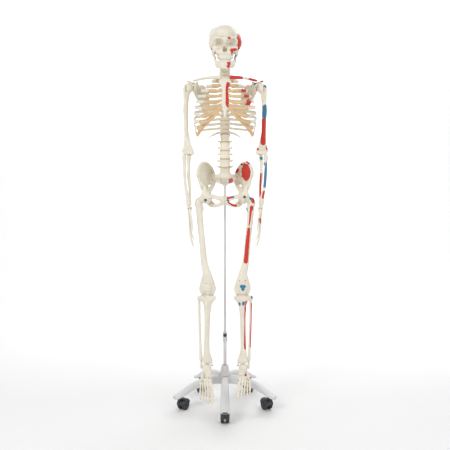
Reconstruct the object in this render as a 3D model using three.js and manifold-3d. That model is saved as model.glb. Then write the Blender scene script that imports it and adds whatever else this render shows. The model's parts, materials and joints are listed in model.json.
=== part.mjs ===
// A life-size teaching skeleton hung by its pelvis on a pole with a five-legged wheeled base.
// Millimetres, +Z up. The skeleton faces -Y, so its left side is +X.
// Every shape is written with the pole's axis at x = 0, y = 0. The model's group sits poleY behind that,
// so that the origin is the centre of the footprint at floor level.
import * as THREE from 'three';
import { mergeVertices } from 'three/addons/utils/BufferGeometryUtils.js';
import Module from 'manifold-3d';

const wasm = await Module();
wasm.setup();

// ---------------------------------------------------------------- driving dimensions
const gap = 0.4;                 // left between pieces that rest against each other
const poleY = 28;                // pole axis behind the centre of the footprint
const legCount = 5;

const base = {
  casterRadius: 215, tipOverhang: 34, hubRadius: 30, hubTop: 150, hubBottom: 108,
  legHalfWidthHub: 15, legHalfWidthTip: 23, legDepthHub: 20, legDepthTip: 8, archTop: 149, tipAboveHood: 19.5,
};
const pole = { upperRadius: 6.4, wall: 1.2, lowerTop: 330, upperBottom: 190, inSacrum: 30, sides: 12 };
const collar = { baseRadius: 29, topRadius: 17, height: 48 };
const sleeve = { wall: 2.6, height: 46, below: 18 };
const knob = { radius: 8.5, length: 22, stemRadius: 3, aboveLowerPole: 19 };
const caster = {
  wheelRadius: 25, wheelWidth: 15, wheelGap: 9, axleRadius: 4, trail: 18, hoodWall: 4.5, hoodClearanceShare: 0.06,
  wheelSides: 14, stemClearance: 0.74,
  stemRadius: 4.6, socketRadius: 6, socketDepth: 12, plateRadius: 15, plateThickness: 4,
};
const brake = { halfWidth: 9 };

// Bone lengths of the leg, from the ankle up.
const leg = { shin: 356, thigh: 419 };

// Joint centres of the left side. The legs are drawn at their true height. The body above them is drawn
// with its hips at z = 999, its arms, chest and head at the heights below, and then moved by bodyRise.
const ankle = { x: 84, y: -92, z: 224, radius: 15, halfWidth: 14, clearance: 1.2 };
const knee = { x: 79, y: -90, z: ankle.z + leg.shin, radius: 22, halfWidth: 38 };
const hip = { x: 90, y: -62, z: 999, ball: 23, clearance: 3.2, wall: 8.8 };
const shoulder = { x: 163, y: -15, z: 1489, ball: 22, clearance: 1.5 };
const elbow = { x: 170, y: -25, z: 1200, radius: 11, clearance: 1 };
const wrist = { x: 163, y: -57, z: 958 };
const jaw = { y: -60, z: 1641 };
const spine = { sacrumTop: 1102, lumbarTop: 1278, thoracicTop: 1531, cervicalTop: 1629, vertebraPlay: 0.6, trim: 5 };
const chest = { notchZ: 1524, notchY: -95, xiphoidZ: 1351, xiphoidY: -150 };
const pelvis = { crestTop: 1160 };
const skull = { halfWidth: 73, vertex: 1764, front: -122, back: 66, wall: 6, cutZ: 1706 };
const foot = { length: 177, heel: 50, soleDrop: 74, toeDrop: 66 };
const footPitch = { left: 2, right: 16 };   // toes below level, degrees
const hand = { length: 176 };

// What follows from the sizes above.
const bodyRise = knee.z + leg.thigh - hip.z;
pole.upperTop = spine.sacrumTop - pole.inSacrum + bodyRise;
pole.boreRadius = pole.upperRadius + gap;
pole.lowerRadius = pole.boreRadius + pole.wall;
sleeve.radius = pole.lowerRadius + gap + sleeve.wall;
knob.height = pole.lowerTop + knob.aboveLowerPole;
caster.hoodRadius = caster.wheelRadius + caster.hoodWall;
caster.treadRadius = caster.wheelRadius / Math.cos(Math.PI / caster.wheelSides);   // its flats reach wheelRadius
const stemBottom = caster.wheelRadius + Math.sqrt(caster.treadRadius ** 2 - caster.trail ** 2) + caster.stemClearance;
const hoodTop = caster.wheelRadius + caster.hoodRadius;
const plateTop = hoodTop + caster.plateThickness;
const socketTop = plateTop + caster.socketDepth;
base.tipRadius = base.casterRadius + base.tipOverhang;
base.tipTop = hoodTop + base.tipAboveHood;

// ---------------------------------------------------------------- solids
function solidOf(geometry) {
  const bare = geometry.clone();
  bare.deleteAttribute('normal');
  bare.deleteAttribute('uv');
  const merged = mergeVertices(bare, 1e-4);
  return new wasm.Manifold(new wasm.Mesh({
    numProp: 3,
    vertProperties: merged.attributes.position.array,
    triVerts: new Uint32Array(merged.index.array),
  }));
}

function geometryOf(solid) {
  const made = solid.getMesh();
  const geometry = new THREE.BufferGeometry();
  geometry.setAttribute('position', new THREE.BufferAttribute(made.vertProperties, 3));
  geometry.setIndex(new THREE.BufferAttribute(made.triVerts, 1));
  geometry.computeVertexNormals();
  return geometry;
}

function join(...solids) {
  return solids.flat().reduce((whole, piece) => whole.add(piece));
}

function cut(solid, ...tools) {
  return tools.flat().reduce((rest, tool) => rest.subtract(tool), solid);
}

// A rod of elliptical section carried along a smooth curve. radii holds one entry per point:
// a radius, or [radius along the wide direction, radius across it].
function loft(points, radii, { sides = 8, steps = 8, wide = [1, 0, 0], turn = 0 } = {}) {
  const path = new THREE.CatmullRomCurve3(points.map((p) => new THREE.Vector3(...p)));
  const pairs = radii.map((r) => (Array.isArray(r) ? r : [r, r]));
  const sizes = new THREE.CatmullRomCurve3(pairs.map(([a, b]) => new THREE.Vector3(a, b, 0)));
  const geometry = new THREE.CylinderGeometry(1, 1, 1, sides, steps);
  geometry.rotateY(turn);
  const place = geometry.attributes.position;
  for (let i = 0; i < place.count; i += 1) {
    const t = THREE.MathUtils.clamp(0.5 - place.getY(i), 0, 1);
    const along = path.getTangent(t);
    const across = new THREE.Vector3(...wide).addScaledVector(along, -along.dot(new THREE.Vector3(...wide)));
    across.normalize();
    const third = new THREE.Vector3().crossVectors(along, across);
    const size = sizes.getPoint(t);
    const spot = path.getPoint(t)
      .addScaledVector(across, place.getX(i) * Math.max(size.x, 0.5))
      .addScaledVector(third, place.getZ(i) * Math.max(size.y, 0.5));
    place.setXYZ(i, spot.x, spot.y, spot.z);
  }
  return solidOf(geometry);
}

// An ellipsoid with its poles on its own z axis.
function egg(centre, [rx, ry, rz], { around = 12, down = 8, tilt = [0, 0, 0] } = {}) {
  const geometry = new THREE.SphereGeometry(1, around, down);
  geometry.rotateX(Math.PI / 2);
  geometry.scale(rx, ry, rz);
  geometry.rotateX(tilt[0]).rotateY(tilt[1]).rotateZ(tilt[2]);
  geometry.translate(...centre);
  return solidOf(geometry);
}

const ball = (centre, radius, fine = {}) => egg(centre, [radius, radius, radius], fine);

function box(low, high) {
  const size = high.map((value, i) => value - low[i]);
  const geometry = new THREE.BoxGeometry(...size);
  geometry.translate(...low.map((value, i) => value + size[i] / 2));
  return solidOf(geometry);
}

// A straight cylinder or cone between two points.
function rod(from, to, radius, { sides = 16, endRadius = radius } = {}) {
  const start = new THREE.Vector3(...from);
  const way = new THREE.Vector3(...to).sub(start);
  const geometry = new THREE.CylinderGeometry(endRadius, radius, way.length(), sides, 1);
  geometry.rotateY(Math.PI / sides);
  const turn = new THREE.Quaternion().setFromUnitVectors(new THREE.Vector3(0, 1, 0), way.clone().normalize());
  geometry.applyQuaternion(turn);
  geometry.translate(...start.addScaledVector(way, 0.5));
  return solidOf(geometry);
}

// A flat outline in the y-z plane, given thickness along x and centred on x.
function slab(outline, x, halfThickness, bevel = 0) {
  const shape = new THREE.Shape(outline.map(([y, z]) => new THREE.Vector2(y, z)));
  const geometry = new THREE.ExtrudeGeometry(shape, {
    depth: 2 * (halfThickness - bevel), bevelEnabled: bevel > 0, bevelThickness: bevel, bevelSize: bevel,
    bevelOffset: -bevel, bevelSegments: 1, curveSegments: 6,
  });
  geometry.translate(0, 0, -(halfThickness - bevel));
  geometry.applyMatrix4(new THREE.Matrix4().set(0, 0, 1, x, 1, 0, 0, 0, 0, 1, 0, 0, 0, 0, 0, 1));
  return solidOf(geometry);
}

// ---------------------------------------------------------------- materials
const bone = { color: 0xe9e4d4, roughness: 0.5, metalness: 0 };
const cartilage = { color: 0xd9b98a, roughness: 0.5, metalness: 0 };
const greyPaint = { color: 0xd2d3d4, roughness: 0.35, metalness: 0 };
const black = { color: 0x23262a, roughness: 0.45, metalness: 0 };

const model = new THREE.Group();
model.position.y = poleY;
const body = new THREE.Group();   // pelvis, trunk, arms and head
body.position.z = bodyRise;
model.add(body);

function add(group, name, solid, look, mirrored = false) {
  const mesh = new THREE.Mesh(geometryOf(solid), new THREE.MeshStandardMaterial(look));
  mesh.name = name;
  if (mirrored) mesh.scale.x = -1;
  group.add(mesh);
}

function addPair(group, name, solid, look) {
  add(group, `${name}_left`, solid, look);
  add(group, `${name}_right`, solid, look, true);
}

// ---------------------------------------------------------------- stand
function baseLeg(angle) {
  const spots = [...[0, 0.326, 0.586, 0.814, 1].map((share) => share * base.casterRadius), base.tipRadius];
  const shares = [0.02, 0, 0.14, 0.42, 0.72, 1];
  const points = [];
  const radii = [];
  spots.forEach((r, i) => {
    const share = i / (spots.length - 1);
    const depth = THREE.MathUtils.lerp(base.legDepthHub, base.legDepthTip, shares[i]);
    const width = THREE.MathUtils.lerp(base.legHalfWidthHub, base.legHalfWidthTip, share);
    const top = THREE.MathUtils.lerp(base.archTop, base.tipTop, shares[i]);
    points.push([r * Math.cos(angle), r * Math.sin(angle), top - depth]);
    radii.push([width, depth]);
  });
  radii[spots.length - 1][0] = base.legHalfWidthTip * 0.6;
  return loft(points, radii, { sides: 6, steps: 5, wide: [-Math.sin(angle), Math.cos(angle), 0], turn: Math.PI / 6 });
}

const legAngles = Array.from({ length: legCount }, (_, k) => THREE.MathUtils.degToRad(-90 + (k * 360) / legCount));

function starBase() {
  const legs = legAngles.map((angle) => baseLeg(angle));
  const hub = rod([0, 0, base.hubBottom], [0, 0, base.hubTop], base.hubRadius, { sides: 15 });
  const bore = rod([0, 0, 0], [0, 0, base.hubTop + 50], pole.lowerRadius + gap, { sides: pole.sides });
  const sockets = legAngles.map((angle) => rod(
    [base.casterRadius * Math.cos(angle), base.casterRadius * Math.sin(angle), 0],
    [base.casterRadius * Math.cos(angle), base.casterRadius * Math.sin(angle), socketTop],
    caster.socketRadius, { sides: 6 },
  ));
  return cut(join(hub, legs), bore, sockets);
}

function hubCollar() {
  const low = base.hubTop + gap;
  const cone = rod([0, 0, low], [0, 0, low + collar.height], collar.baseRadius, { sides: 16, endRadius: collar.topRadius });
  return cut(cone, rod([0, 0, 0], [0, 0, 400], pole.lowerRadius + gap, { sides: pole.sides }));
}

function lowerPole() {
  const tube = rod([0, 0, base.hubBottom], [0, 0, pole.lowerTop], pole.lowerRadius, { sides: pole.sides });
  return cut(tube, rod([0, 0, 0], [0, 0, 500], pole.boreRadius, { sides: pole.sides }));
}

function clampSleeve() {
  const low = pole.lowerTop - sleeve.below;
  const high = low + sleeve.height;
  const screwHole = rod([0, 0, knob.height], [0, -60, knob.height], (knob.stemRadius + gap) / Math.cos(Math.PI / 6),
    { sides: 6 });
  return cut(
    rod([0, 0, low], [0, 0, high], sleeve.radius, { sides: 14 }),
    rod([0, 0, 0], [0, 0, pole.lowerTop + gap], pole.lowerRadius + gap, { sides: pole.sides }),
    rod([0, 0, 0], [0, 0, 500], pole.boreRadius, { sides: pole.sides }),
    screwHole,
  );
}

function clampKnob() {
  const tip = -(pole.upperRadius + gap);
  const face = -(sleeve.radius + 1);
  const stem = rod([0, tip, knob.height], [0, face - 4, knob.height], knob.stemRadius, { sides: 6 });
  const grip = egg([0, face - knob.length / 2, knob.height], [knob.radius, knob.length / 2, knob.radius],
    { around: 8, down: 5 });
  return join(stem, grip);
}

// One caster drawn at the origin, rolling towards -y, with its swivel axis on x = 0, y = 0.
const axleSpot = [0, caster.trail, caster.wheelRadius];

// The two wheels of a caster and the axle between them, turned in one piece.
function casterWheels() {
  const inner = caster.wheelGap / 2;
  const outer = inner + caster.wheelWidth;
  const { wheelSides: sides, treadRadius: tread } = caster;
  const half = [[caster.axleRadius, inner], [tread, inner], [tread, outer], [0, outer]];
  const profile = [...half.map(([r, w]) => [r, -w]).reverse(), ...half];
  const geometry = new THREE.LatheGeometry(profile.map(([r, w]) => new THREE.Vector2(r, w)), sides);
  geometry.rotateY(Math.PI / sides);
  geometry.rotateZ(-Math.PI / 2);
  geometry.translate(...axleSpot);
  return solidOf(geometry);
}

function casterHood() {
  const [, y, z] = axleSpot;
  const inner = caster.wheelRadius * (1 + caster.hoodClearanceShare);
  const rim = (radius, half) => rod([-half, y, z], [half, y, z], radius, { sides: 14 });
  const cover = rim(caster.hoodRadius, caster.wheelGap / 2 + caster.wheelWidth + 1);
  const shell = cut(cover, rim(inner, 60), box([-60, y - 60, -20], [60, y + 60, z + 4]));
  const web = slab([[-3, 30], [y + 6, 12], [y + 8, z + 10], [y, hoodTop - 1], [-3, hoodTop - 8]], 0,
    caster.wheelGap / 2 - 1.2);
  const block = cut(rod([0, 0, 40], [0, 0, plateTop - 1], caster.plateRadius * 0.7, { sides: 8 }), rim(inner, 60));
  const stem = rod([0, 0, stemBottom], [0, 0, socketTop - 1], caster.stemRadius, { sides: 6 });
  return cut(join(shell, web, block, stem), rim(caster.axleRadius + gap, 60));
}

// A pedal on the caster's rim, hinged at its upper edge.
function brakeLever() {
  const [, y, z] = axleSpot;
  const reach = caster.hoodRadius + 2 * gap;
  const spot = (angle, r) => [y + r * Math.cos(angle), z + r * Math.sin(angle)];
  return slab([spot(0.75, reach), spot(0.4, reach + 0.8), spot(0.1, reach + 8), spot(0.18, reach + 11),
    spot(0.5, reach + 6), spot(0.75, reach + 4)], 0, brake.halfWidth);
}

// Moves a solid drawn at the origin to a caster's place, turned about +Z.
function atCaster(solid, angle, heading) {
  const geometry = geometryOf(solid);
  geometry.rotateZ(heading);
  geometry.translate(base.casterRadius * Math.cos(angle), base.casterRadius * Math.sin(angle), 0);
  return solidOf(geometry);
}

function addStand() {
  add(model, 'star_base', starBase(), greyPaint);
  add(model, 'hub_collar', hubCollar(), greyPaint);
  add(model, 'lower_pole', lowerPole(), greyPaint);
  const upper = rod([0, 0, pole.upperBottom], [0, 0, pole.upperTop], pole.upperRadius, { sides: pole.sides });
  add(model, 'upper_pole', upper, greyPaint);
  add(model, 'clamp_sleeve', clampSleeve(), greyPaint);
  add(model, 'clamp_knob', clampKnob(), black);
  const headings = [0, 0.5, Math.PI - 0.4, Math.PI + 0.4, -0.5];
  legAngles.forEach((angle, k) => {
    add(model, `caster_hood_${k + 1}`, atCaster(casterHood(), angle, headings[k]), black);
    add(model, `caster_wheels_${k + 1}`, atCaster(casterWheels(), angle, headings[k]), black);
  });
  add(model, 'brake_lever', atCaster(brakeLever(), legAngles[1], headings[1]), black);
}

// ---------------------------------------------------------------- spine
// Front of the vertebral bodies follows one smooth curve; y of it at height z.
const spineLine = new THREE.CatmullRomCurve3([
  [0, 2, 1060], [0, -26, 1102], [0, -43, 1134], [0, -51, 1171], [0, -51, 1210], [0, -42, 1245], [0, -28, 1278],
  [0, -2, 1340], [0, 13, 1400], [0, 14, 1450], [0, 4, 1495], [0, -10, 1531], [0, -25, 1560], [0, -38, 1595],
  [0, -40, 1640],
].map((p) => new THREE.Vector3(...p)));
const spineSamples = spineLine.getPoints(160);

function spineY(z) {
  const above = spineSamples.findIndex((p) => p.z >= z);
  const [a, b] = [spineSamples[above - 1], spineSamples[above]];
  return a.y + ((b.y - a.y) * (z - a.z)) / (b.z - a.z);
}

// The arch, spine and side processes behind a vertebral body centred at height z.
function vertebraProcesses(z, size) {
  const back = spineY(z) + size.y;
  const prong = loft(
    [[0, back - 4, z], [0, back + size.spine * 0.45, z - size.drop * 0.4], [0, back + size.spine, z - size.drop]],
    [[size.x * 0.7, size.h], [4, size.blade], [3.4, size.blade * 0.7]],
    { sides: 5, steps: 2 },
  );
  const tip = back + size.sweep;
  const wing = loft(
    [[-size.reach, tip, z + size.lift], [0, back + 4, z], [size.reach, tip, z + size.lift]],
    [[3.2, 3.2], [5, 5], [3.2, 3.2]], { sides: 4, steps: 2, wide: [0, 0, 1] },
  );
  return join(prong, wing);
}

// A stack of vertebral bodies and discs as one waisted column, with each one's processes.
function vertebraColumn(bottom, top, count, sizeOf) {
  const pitch = (top - bottom) / count;
  const points = [];
  const radii = [];
  const processes = [];
  for (let i = 0; i < count; i += 1) {
    const size = sizeOf(count > 1 ? i / (count - 1) : 0, i);
    const low = bottom + pitch * i;
    const mid = low + pitch / 2;
    const start = i === 0 ? low - spine.trim : low;
    points.push([0, spineY(start), start], [0, spineY(mid), mid]);
    radii.push([size.x, size.y], [size.x * 0.88, size.y * 0.88]);
    processes.push(vertebraProcesses(mid, size));
    if (i === count - 1) {
      points.push([0, spineY(top + spine.trim), top + spine.trim]);
      radii.push([size.x, size.y]);
    }
  }
  const column = loft(points, radii, { sides: 8, steps: count > 1 ? 2 * count : 1 });
  const under = box([-80, -150, bottom - 40], [80, 150, bottom]);
  const over = box([-80, -150, top], [80, 150, top + 40]);
  return join(cut(column, under, over), processes);
}

function lumbarSpine() {
  return vertebraColumn(spine.sacrumTop + gap, spine.lumbarTop - gap, 5, (t) => ({
    x: 23.5 - 2.5 * t, y: 16.5, h: 9, spine: 32, drop: 5, blade: 8, reach: 38 - 4 * t, sweep: 5, lift: 2,
  }));
}

function cervicalSpine() {
  return vertebraColumn(spine.thoracicTop + gap, spine.cervicalTop, 7, (t, i) => ({
    x: 13 - t, y: 8.5, h: 4, spine: i === 6 ? 14 : 27 - 12 * t, drop: i === 0 ? -4 : 0, blade: 3.6, reach: i === 6 ? 36 : 26 - 2 * t,
    sweep: -2, lift: 0,
  }));
}

// ---------------------------------------------------------------- rib cage
const ribCount = 12;
const ribPitch = (spine.thoracicTop - spine.lumbarTop) / ribCount;

// Half width of the cage, and where each rib ends, by rib number from the top.
const ribHalfWidth = [58, 84, 104, 118, 127, 133, 137, 139, 138, 134, 126, 92];
const ribEnd = [
  [34, -86, 1513], [52, -103, 1490], [66, -119, 1466], [78, -129, 1441], [88, -137, 1416], [94, -141, 1388],
  [97, -139, 1358], [108, -126, 1331], [118, -104, 1305], [125, -74, 1284], [121, -18, 1266], [88, 30, 1263],
];

function ribSpan(number) {
  const high = spine.thoracicTop - ribPitch * (number - 1);
  return { low: high - ribPitch, high, mid: high - ribPitch / 2 };
}

// Control points of the left rib, from its head on the vertebra to its front end.
function ribPoints(number) {
  const { mid } = ribSpan(number);
  const y = spineY(mid);
  const width = ribHalfWidth[number - 1];
  const [endX, endY, endZ] = ribEnd[number - 1];
  const fall = mid - endZ;
  const back = y + (number === 1 ? 26 : 37);
  const start = [[9, y + 4, mid], [27, y + 17, mid], [width * 0.42, back, mid - fall * 0.05]];
  if (number === 12) return [...start, [endX, endY, endZ]];
  const sideY = (back + endY) / 2;
  const body = [
    [width * 0.74, back - 11, mid - fall * 0.15],
    [width * 0.965, sideY + (back - sideY) * 0.42, mid - fall * 0.34],
    [width, sideY - (sideY - endY) * 0.12, mid - fall * 0.6],
  ];
  if (number === 11) return [...start, ...body.slice(0, 2), [endX, endY, endZ]];
  return [...start, ...body, [(width * 0.55 + endX * 0.45), endY + (sideY - endY) * 0.27, mid - fall * 0.86],
    [endX, endY, endZ]];
}

function rib(number) {
  const points = ribPoints(number);
  const flat = number === 1 ? [6, 3.6] : [3.8, 6.6];
  const radii = points.map((_, i) => (i === 0 ? [4, 4] : flat));
  return loft(points, radii, { sides: 4, steps: number > 10 ? 5 : 8, wide: [0.2, 0.3, 1], turn: Math.PI / 4 });
}

function mirrorX(solid) {
  const geometry = geometryOf(solid).scale(-1, 1, 1);
  const order = geometry.index.array;
  for (let i = 0; i < order.length; i += 3) [order[i], order[i + 1]] = [order[i + 1], order[i]];
  return solidOf(geometry);
}

function thoracicSegment(number) {
  const { low, high } = ribSpan(number);
  const t = (number - 1) / (ribCount - 1);
  const bones = vertebraColumn(low + spine.vertebraPlay / 2, high - spine.vertebraPlay / 2, 1, () => ({
    x: 15 + 4.5 * t, y: 10 + 4.5 * t, h: 6, spine: 27, drop: 11 - 6 * t, blade: 4.5, reach: 21 - 4 * t,
    sweep: 17, lift: 0,
  }));
  const left = rib(number);
  return join(bones, left, mirrorX(left));
}

// Breastbone with the costal cartilages that meet the ribs.
function breastbone() {
  const { notchZ, notchY, xiphoidZ, xiphoidY } = chest;
  const line = (share) => [0, THREE.MathUtils.lerp(notchY, xiphoidY + 6, Math.pow(share, 0.85)),
    THREE.MathUtils.lerp(notchZ, xiphoidZ, share)];
  const plate = loft([line(0.02), line(0.1), line(0.26), line(0.34), line(0.6), line(0.79), line(0.84), line(1)],
    [[24, 5], [28, 6], [17, 5], [15, 5], [19, 5], [16, 5], [8, 3], [4, 2]], { sides: 6, steps: 9 });
  const strips = [];
  for (let number = 1; number <= 10; number += 1) {
    const points = ribPoints(number);
    const end = new THREE.Vector3(...points[points.length - 1]);
    const before = new THREE.Vector3(...points[points.length - 2]);
    const way = end.clone().sub(before).normalize();
    const start = end.clone().addScaledVector(way, gap);
    const joint = number <= 7 ? line([0.06, 0.2, 0.35, 0.47, 0.58, 0.68, 0.76][number - 1]) : null;
    strips.push({ number, start, way, joint });
  }
  const costal = strips.map(({ number, start, way, joint }) => {
    const bend = start.clone().addScaledVector(way, number < 3 ? 6 : 14);
    const target = joint ? [joint[0] + 9, joint[1], joint[2]] : null;
    if (target) {
      const near = [THREE.MathUtils.lerp(bend.x, target[0], 0.55), THREE.MathUtils.lerp(bend.y, target[1], 0.6),
        THREE.MathUtils.lerp(bend.z, target[2], 0.55) - (number > 4 ? 7 : 0)];
      return loft([start.toArray(), bend.toArray(), near, target], [[3.8, 6.6], [3.8, 6], [3.8, 6], [3.8, 7]],
        { sides: 4, steps: 3, wide: [0.2, 0.3, 1], turn: Math.PI / 4 });
    }
    const upper = strips[number - 2];
    const hook = upper.start.clone().addScaledVector(upper.way, 12);
    return loft([start.toArray(), bend.toArray(), [hook.x - 3, hook.y - 1, hook.z - 1], [hook.x - 22, hook.y - 7, hook.z + 10]],
      [[3.8, 6.6], [3.8, 6], [3.8, 6], [3.8, 5]], { sides: 4, steps: 3, wide: [0.2, 0.3, 1], turn: Math.PI / 4 });
  });
  return join(plate, costal, costal.map((strip) => mirrorX(strip)));
}

function addTrunk() {
  add(body, 'lumbar_spine', lumbarSpine(), bone);
  add(body, 'cervical_spine', cervicalSpine(), bone);
  for (let number = 1; number <= ribCount; number += 1) {
    add(body, `thoracic_segment_${String(number).padStart(2, '0')}`, thoracicSegment(number), bone);
  }
  add(body, 'sternum_and_cartilage', breastbone(), cartilage);
}

// ---------------------------------------------------------------- shoulder girdle
const acromion = { z: 1518, x: 160 };

function clavicle() {
  return loft(
    [[22, chest.notchY - 1, chest.notchZ + 6], [55, chest.notchY - 7, 1528], [95, -72, 1527], [122, -40, 1524],
      [acromion.x - 19, -25, acromion.z + 2]],
    [[8, 7], [6, 6], [5.5, 5], [6, 5], [8, 4.5]], { sides: 6, steps: 6, wide: [0, 1, 0.2] },
  );
}

function scapula() {
  const { x, y, z } = shoulder;
  const blade = new THREE.Shape([[0, 0], [12, 66], [-4, 132], [-34, 146], [-52, 128], [-64, 134], [-30, 40], [-8, -6]]
    .map(([a, b]) => new THREE.Vector2(a, b)));
  const geometry = new THREE.ExtrudeGeometry(blade, { depth: 5, bevelEnabled: false });
  geometry.translate(0, 0, -2.5);
  // The blade's own first axis runs from the side to the middle of the back.
  const inward = new THREE.Vector3(-Math.cos(0.62), Math.sin(0.62), 0);
  const up = new THREE.Vector3(0, 0, 1);
  const out = new THREE.Vector3().crossVectors(inward, up);
  geometry.applyMatrix4(new THREE.Matrix4().makeBasis(inward, up, out).setPosition(84, 60, 1364));
  const plate = solidOf(geometry);
  const glenoid = egg([x - 25, y + 9, z - 2], [9, 13, 19], { around: 8, down: 5, tilt: [0, 0, -0.4] });
  const neck = loft([[x - 26, y + 10, z - 4], [x - 38, y + 36, z - 2], [x - 50, y + 54, z - 4]], [[9, 14], [6, 18], [4, 20]],
    { sides: 6, steps: 3, wide: [0.5, 0.8, 0] });
  const ridge = loft([[80, 63, 1476], [108, 49, 1494], [138, 34, 1509], [acromion.x + 4, 18, acromion.z + 2],
    [acromion.x + 6, -8, acromion.z]],
    [[3, 4], [5, 8], [5, 9], [4.5, 13], [4.5, 11]], { sides: 6, steps: 6, wide: [0, 0, 1] });
  const coracoid = loft([[x - 27, y + 12, z + 4], [x - 36, y - 14, z + 17], [x - 26, y - 30, z + 6]], [9, 6, 5],
    { sides: 5, steps: 3 });
  const socket = ball([x, y, z], shoulder.ball + shoulder.clearance, { around: 12, down: 8 });
  const sweep = rod([x - 16, y, z], [x + 60, y, z], shoulder.ball + shoulder.clearance + 2, { sides: 14 });
  return cut(join(plate, glenoid, neck, ridge, coracoid), socket, sweep);
}

// ---------------------------------------------------------------- arm
function humerus() {
  const { x, y, z } = shoulder;
  const head = ball([x, y, z], shoulder.ball, { around: 10, down: 7 });
  const tubercle = egg([x + 13, y - 4, z - 4], [12, 15, 17], { around: 8, down: 5 });
  const shaft = loft(
    [[x + 7, y, z - 4], [x + 12, y, z - 50], [176, -17, 1380], [175, -20, 1280], [elbow.x, elbow.y + 5, elbow.z + 30],
      [elbow.x, elbow.y + 5, elbow.z + 6]],
    [[18, 17], [12, 12], [11, 11], [10.5, 10], [22, 7], [29, 5.5]], { sides: 7, steps: 7 },
  );
  const trochlea = rod([elbow.x - 24, elbow.y, elbow.z], [elbow.x + 24, elbow.y, elbow.z], elbow.radius, { sides: 12 });
  const epicondyle = egg([elbow.x - 27, elbow.y + 5, elbow.z + 6], [9, 7, 9], { around: 6, down: 4 });
  const outer = egg([elbow.x + 26, elbow.y + 5, elbow.z + 6], [6, 7, 8], { around: 6, down: 4 });
  return join(head, tubercle, shaft, trochlea, epicondyle, outer);
}

const ulnaHead = { x: 163, y: -41, z: 972 };
const radiusHead = { x: 185, y: -27, z: 1179 };

function ulna() {
  const { x, y, z } = elbow;
  const knuckle = loft([[x - 6, y + 17, z + 14], [x - 6, y + 16, z], [x - 6, y + 6, z - 18], [x - 5, y - 2, z - 40]],
    [[9, 6], [10, 7], [10, 11], [8, 8]], { sides: 6, steps: 5 });
  const coronoid = egg([x - 6, y - 4, z - 18], [10, 9, 7], { around: 6, down: 4 });
  const shaft = loft([[x - 5, y - 1, z - 30], [x - 7, y - 3, z - 80], [x - 9, y - 6, z - 150],
    [ulnaHead.x - 2, ulnaHead.y + 1, ulnaHead.z + 12], [ulnaHead.x - 2, ulnaHead.y + 1, ulnaHead.z]],
    [[8, 9], [6.5, 7], [5.5, 6], [5.5, 6], [8, 8]], { sides: 6, steps: 6 });
  const notch = rod([x - 60, y, z], [x + 60, y, z], elbow.radius + elbow.clearance, { sides: 14 });
  return cut(join(knuckle, coronoid, shaft), notch);
}

function radius() {
  const head = rod([radiusHead.x, radiusHead.y, radiusHead.z - 10], [radiusHead.x, radiusHead.y, radiusHead.z + 8], 9.5,
    { sides: 10 });
  const shaft = loft([[radiusHead.x, radiusHead.y, radiusHead.z - 6], [radiusHead.x, radiusHead.y - 2, radiusHead.z - 28],
    [radiusHead.x + 3, -38, 1100], [radiusHead.x - 2, -52, 1040], [wrist.x + 2, wrist.y - 10, wrist.z + 34],
    [wrist.x, wrist.y - 7, wrist.z + 13]],
    [7, 7.5, [7, 8], [7, 8], [10, 12], [13, 16]], { sides: 7, steps: 7 });
  const notch = rod([elbow.x - 60, elbow.y, elbow.z], [elbow.x + 60, elbow.y, elbow.z], elbow.radius + elbow.clearance,
    { sides: 14 });
  const pocket = ball([ulnaHead.x - 2, ulnaHead.y + 1, ulnaHead.z + 2], 11.5, { around: 8, down: 6 });
  return cut(join(head, shaft), notch, pocket);
}

// Hand at rest beside the thigh: palm towards the body, thumb in front.
function handBones() {
  const { x, y, z } = wrist;
  const palmTop = z - 6;
  const block = loft([[x - 1, y - 3, z + 8], [x - 2, y - 3, palmTop - 10], [x - 3, y - 6, palmTop - 34]],
    [[9, 20], [11, 26], [8, 28]], { sides: 7, steps: 2 });
  const lengths = [0.92, 1, 0.96, 0.82];
  const fingers = lengths.map((share, i) => {
    const side = y + 13 - 14.5 * (3 - i);
    const reach = hand.length * share;
    const spread = -2.6 * (3 - i);
    return loft([[x - 3, side, palmTop - 26], [x - 4, side + spread, palmTop - reach * 0.52],
      [x - 11, side + spread * 1.4, palmTop - reach * 0.78], [x - 22, side + spread * 1.5, palmTop - reach]],
      [[5.5, 5], [4.5, 4.5], [4.6, 4.6], [3, 3]], { sides: 5, steps: 5 });
  });
  const thumb = loft([[x - 4, y - 18, palmTop - 14], [x - 9, y - 36, palmTop - 44], [x - 13, y - 46, palmTop - 72],
    [x - 17, y - 49, palmTop - 96]], [[6, 6], [5.5, 5.5], [5, 5], [3.5, 3.5]], { sides: 5, steps: 4 });
  return join(block, fingers, thumb);
}

function addArms() {
  addPair(body, 'clavicle', clavicle(), bone);
  addPair(body, 'scapula', scapula(), bone);
  addPair(body, 'humerus', humerus(), bone);
  addPair(body, 'ulna', ulna(), bone);
  addPair(body, 'radius', radius(), bone);
  addPair(body, 'hand', handBones(), bone);
}

// ---------------------------------------------------------------- pelvis
function sacrumBody(spare) {
  const sizes = [[28, 12], [48, 17], [58, 18], [50, 15], [27, 10], [10, 6], [5, 4]]
    .map(([a, b]) => [a + spare, b + spare]);
  return loft([[0, -40, 1093], [0, -24, 1091], [0, -4, 1083], [0, 18, 1072], [0, 36, 1061], [0, 49, 1052], [0, 53, 1043]],
    sizes, { sides: 8, steps: 6 });
}

function sacrum() {
  const crest = loft([[0, 8, 1093], [0, 27, 1081], [0, 42, 1067]], [[6, 6], [6, 6], [4, 4]], { sides: 6, steps: 3 });
  const holeTop = spine.sacrumTop - pole.inSacrum + 2;
  const hole = rod([0, 0, 900], [0, 0, holeTop], pole.upperRadius + gap, { sides: pole.sides });
  return cut(join(sacrumBody(0), crest), hole, box([-60, -80, spine.sacrumTop], [60, 60, spine.sacrumTop + 60]));
}

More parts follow.
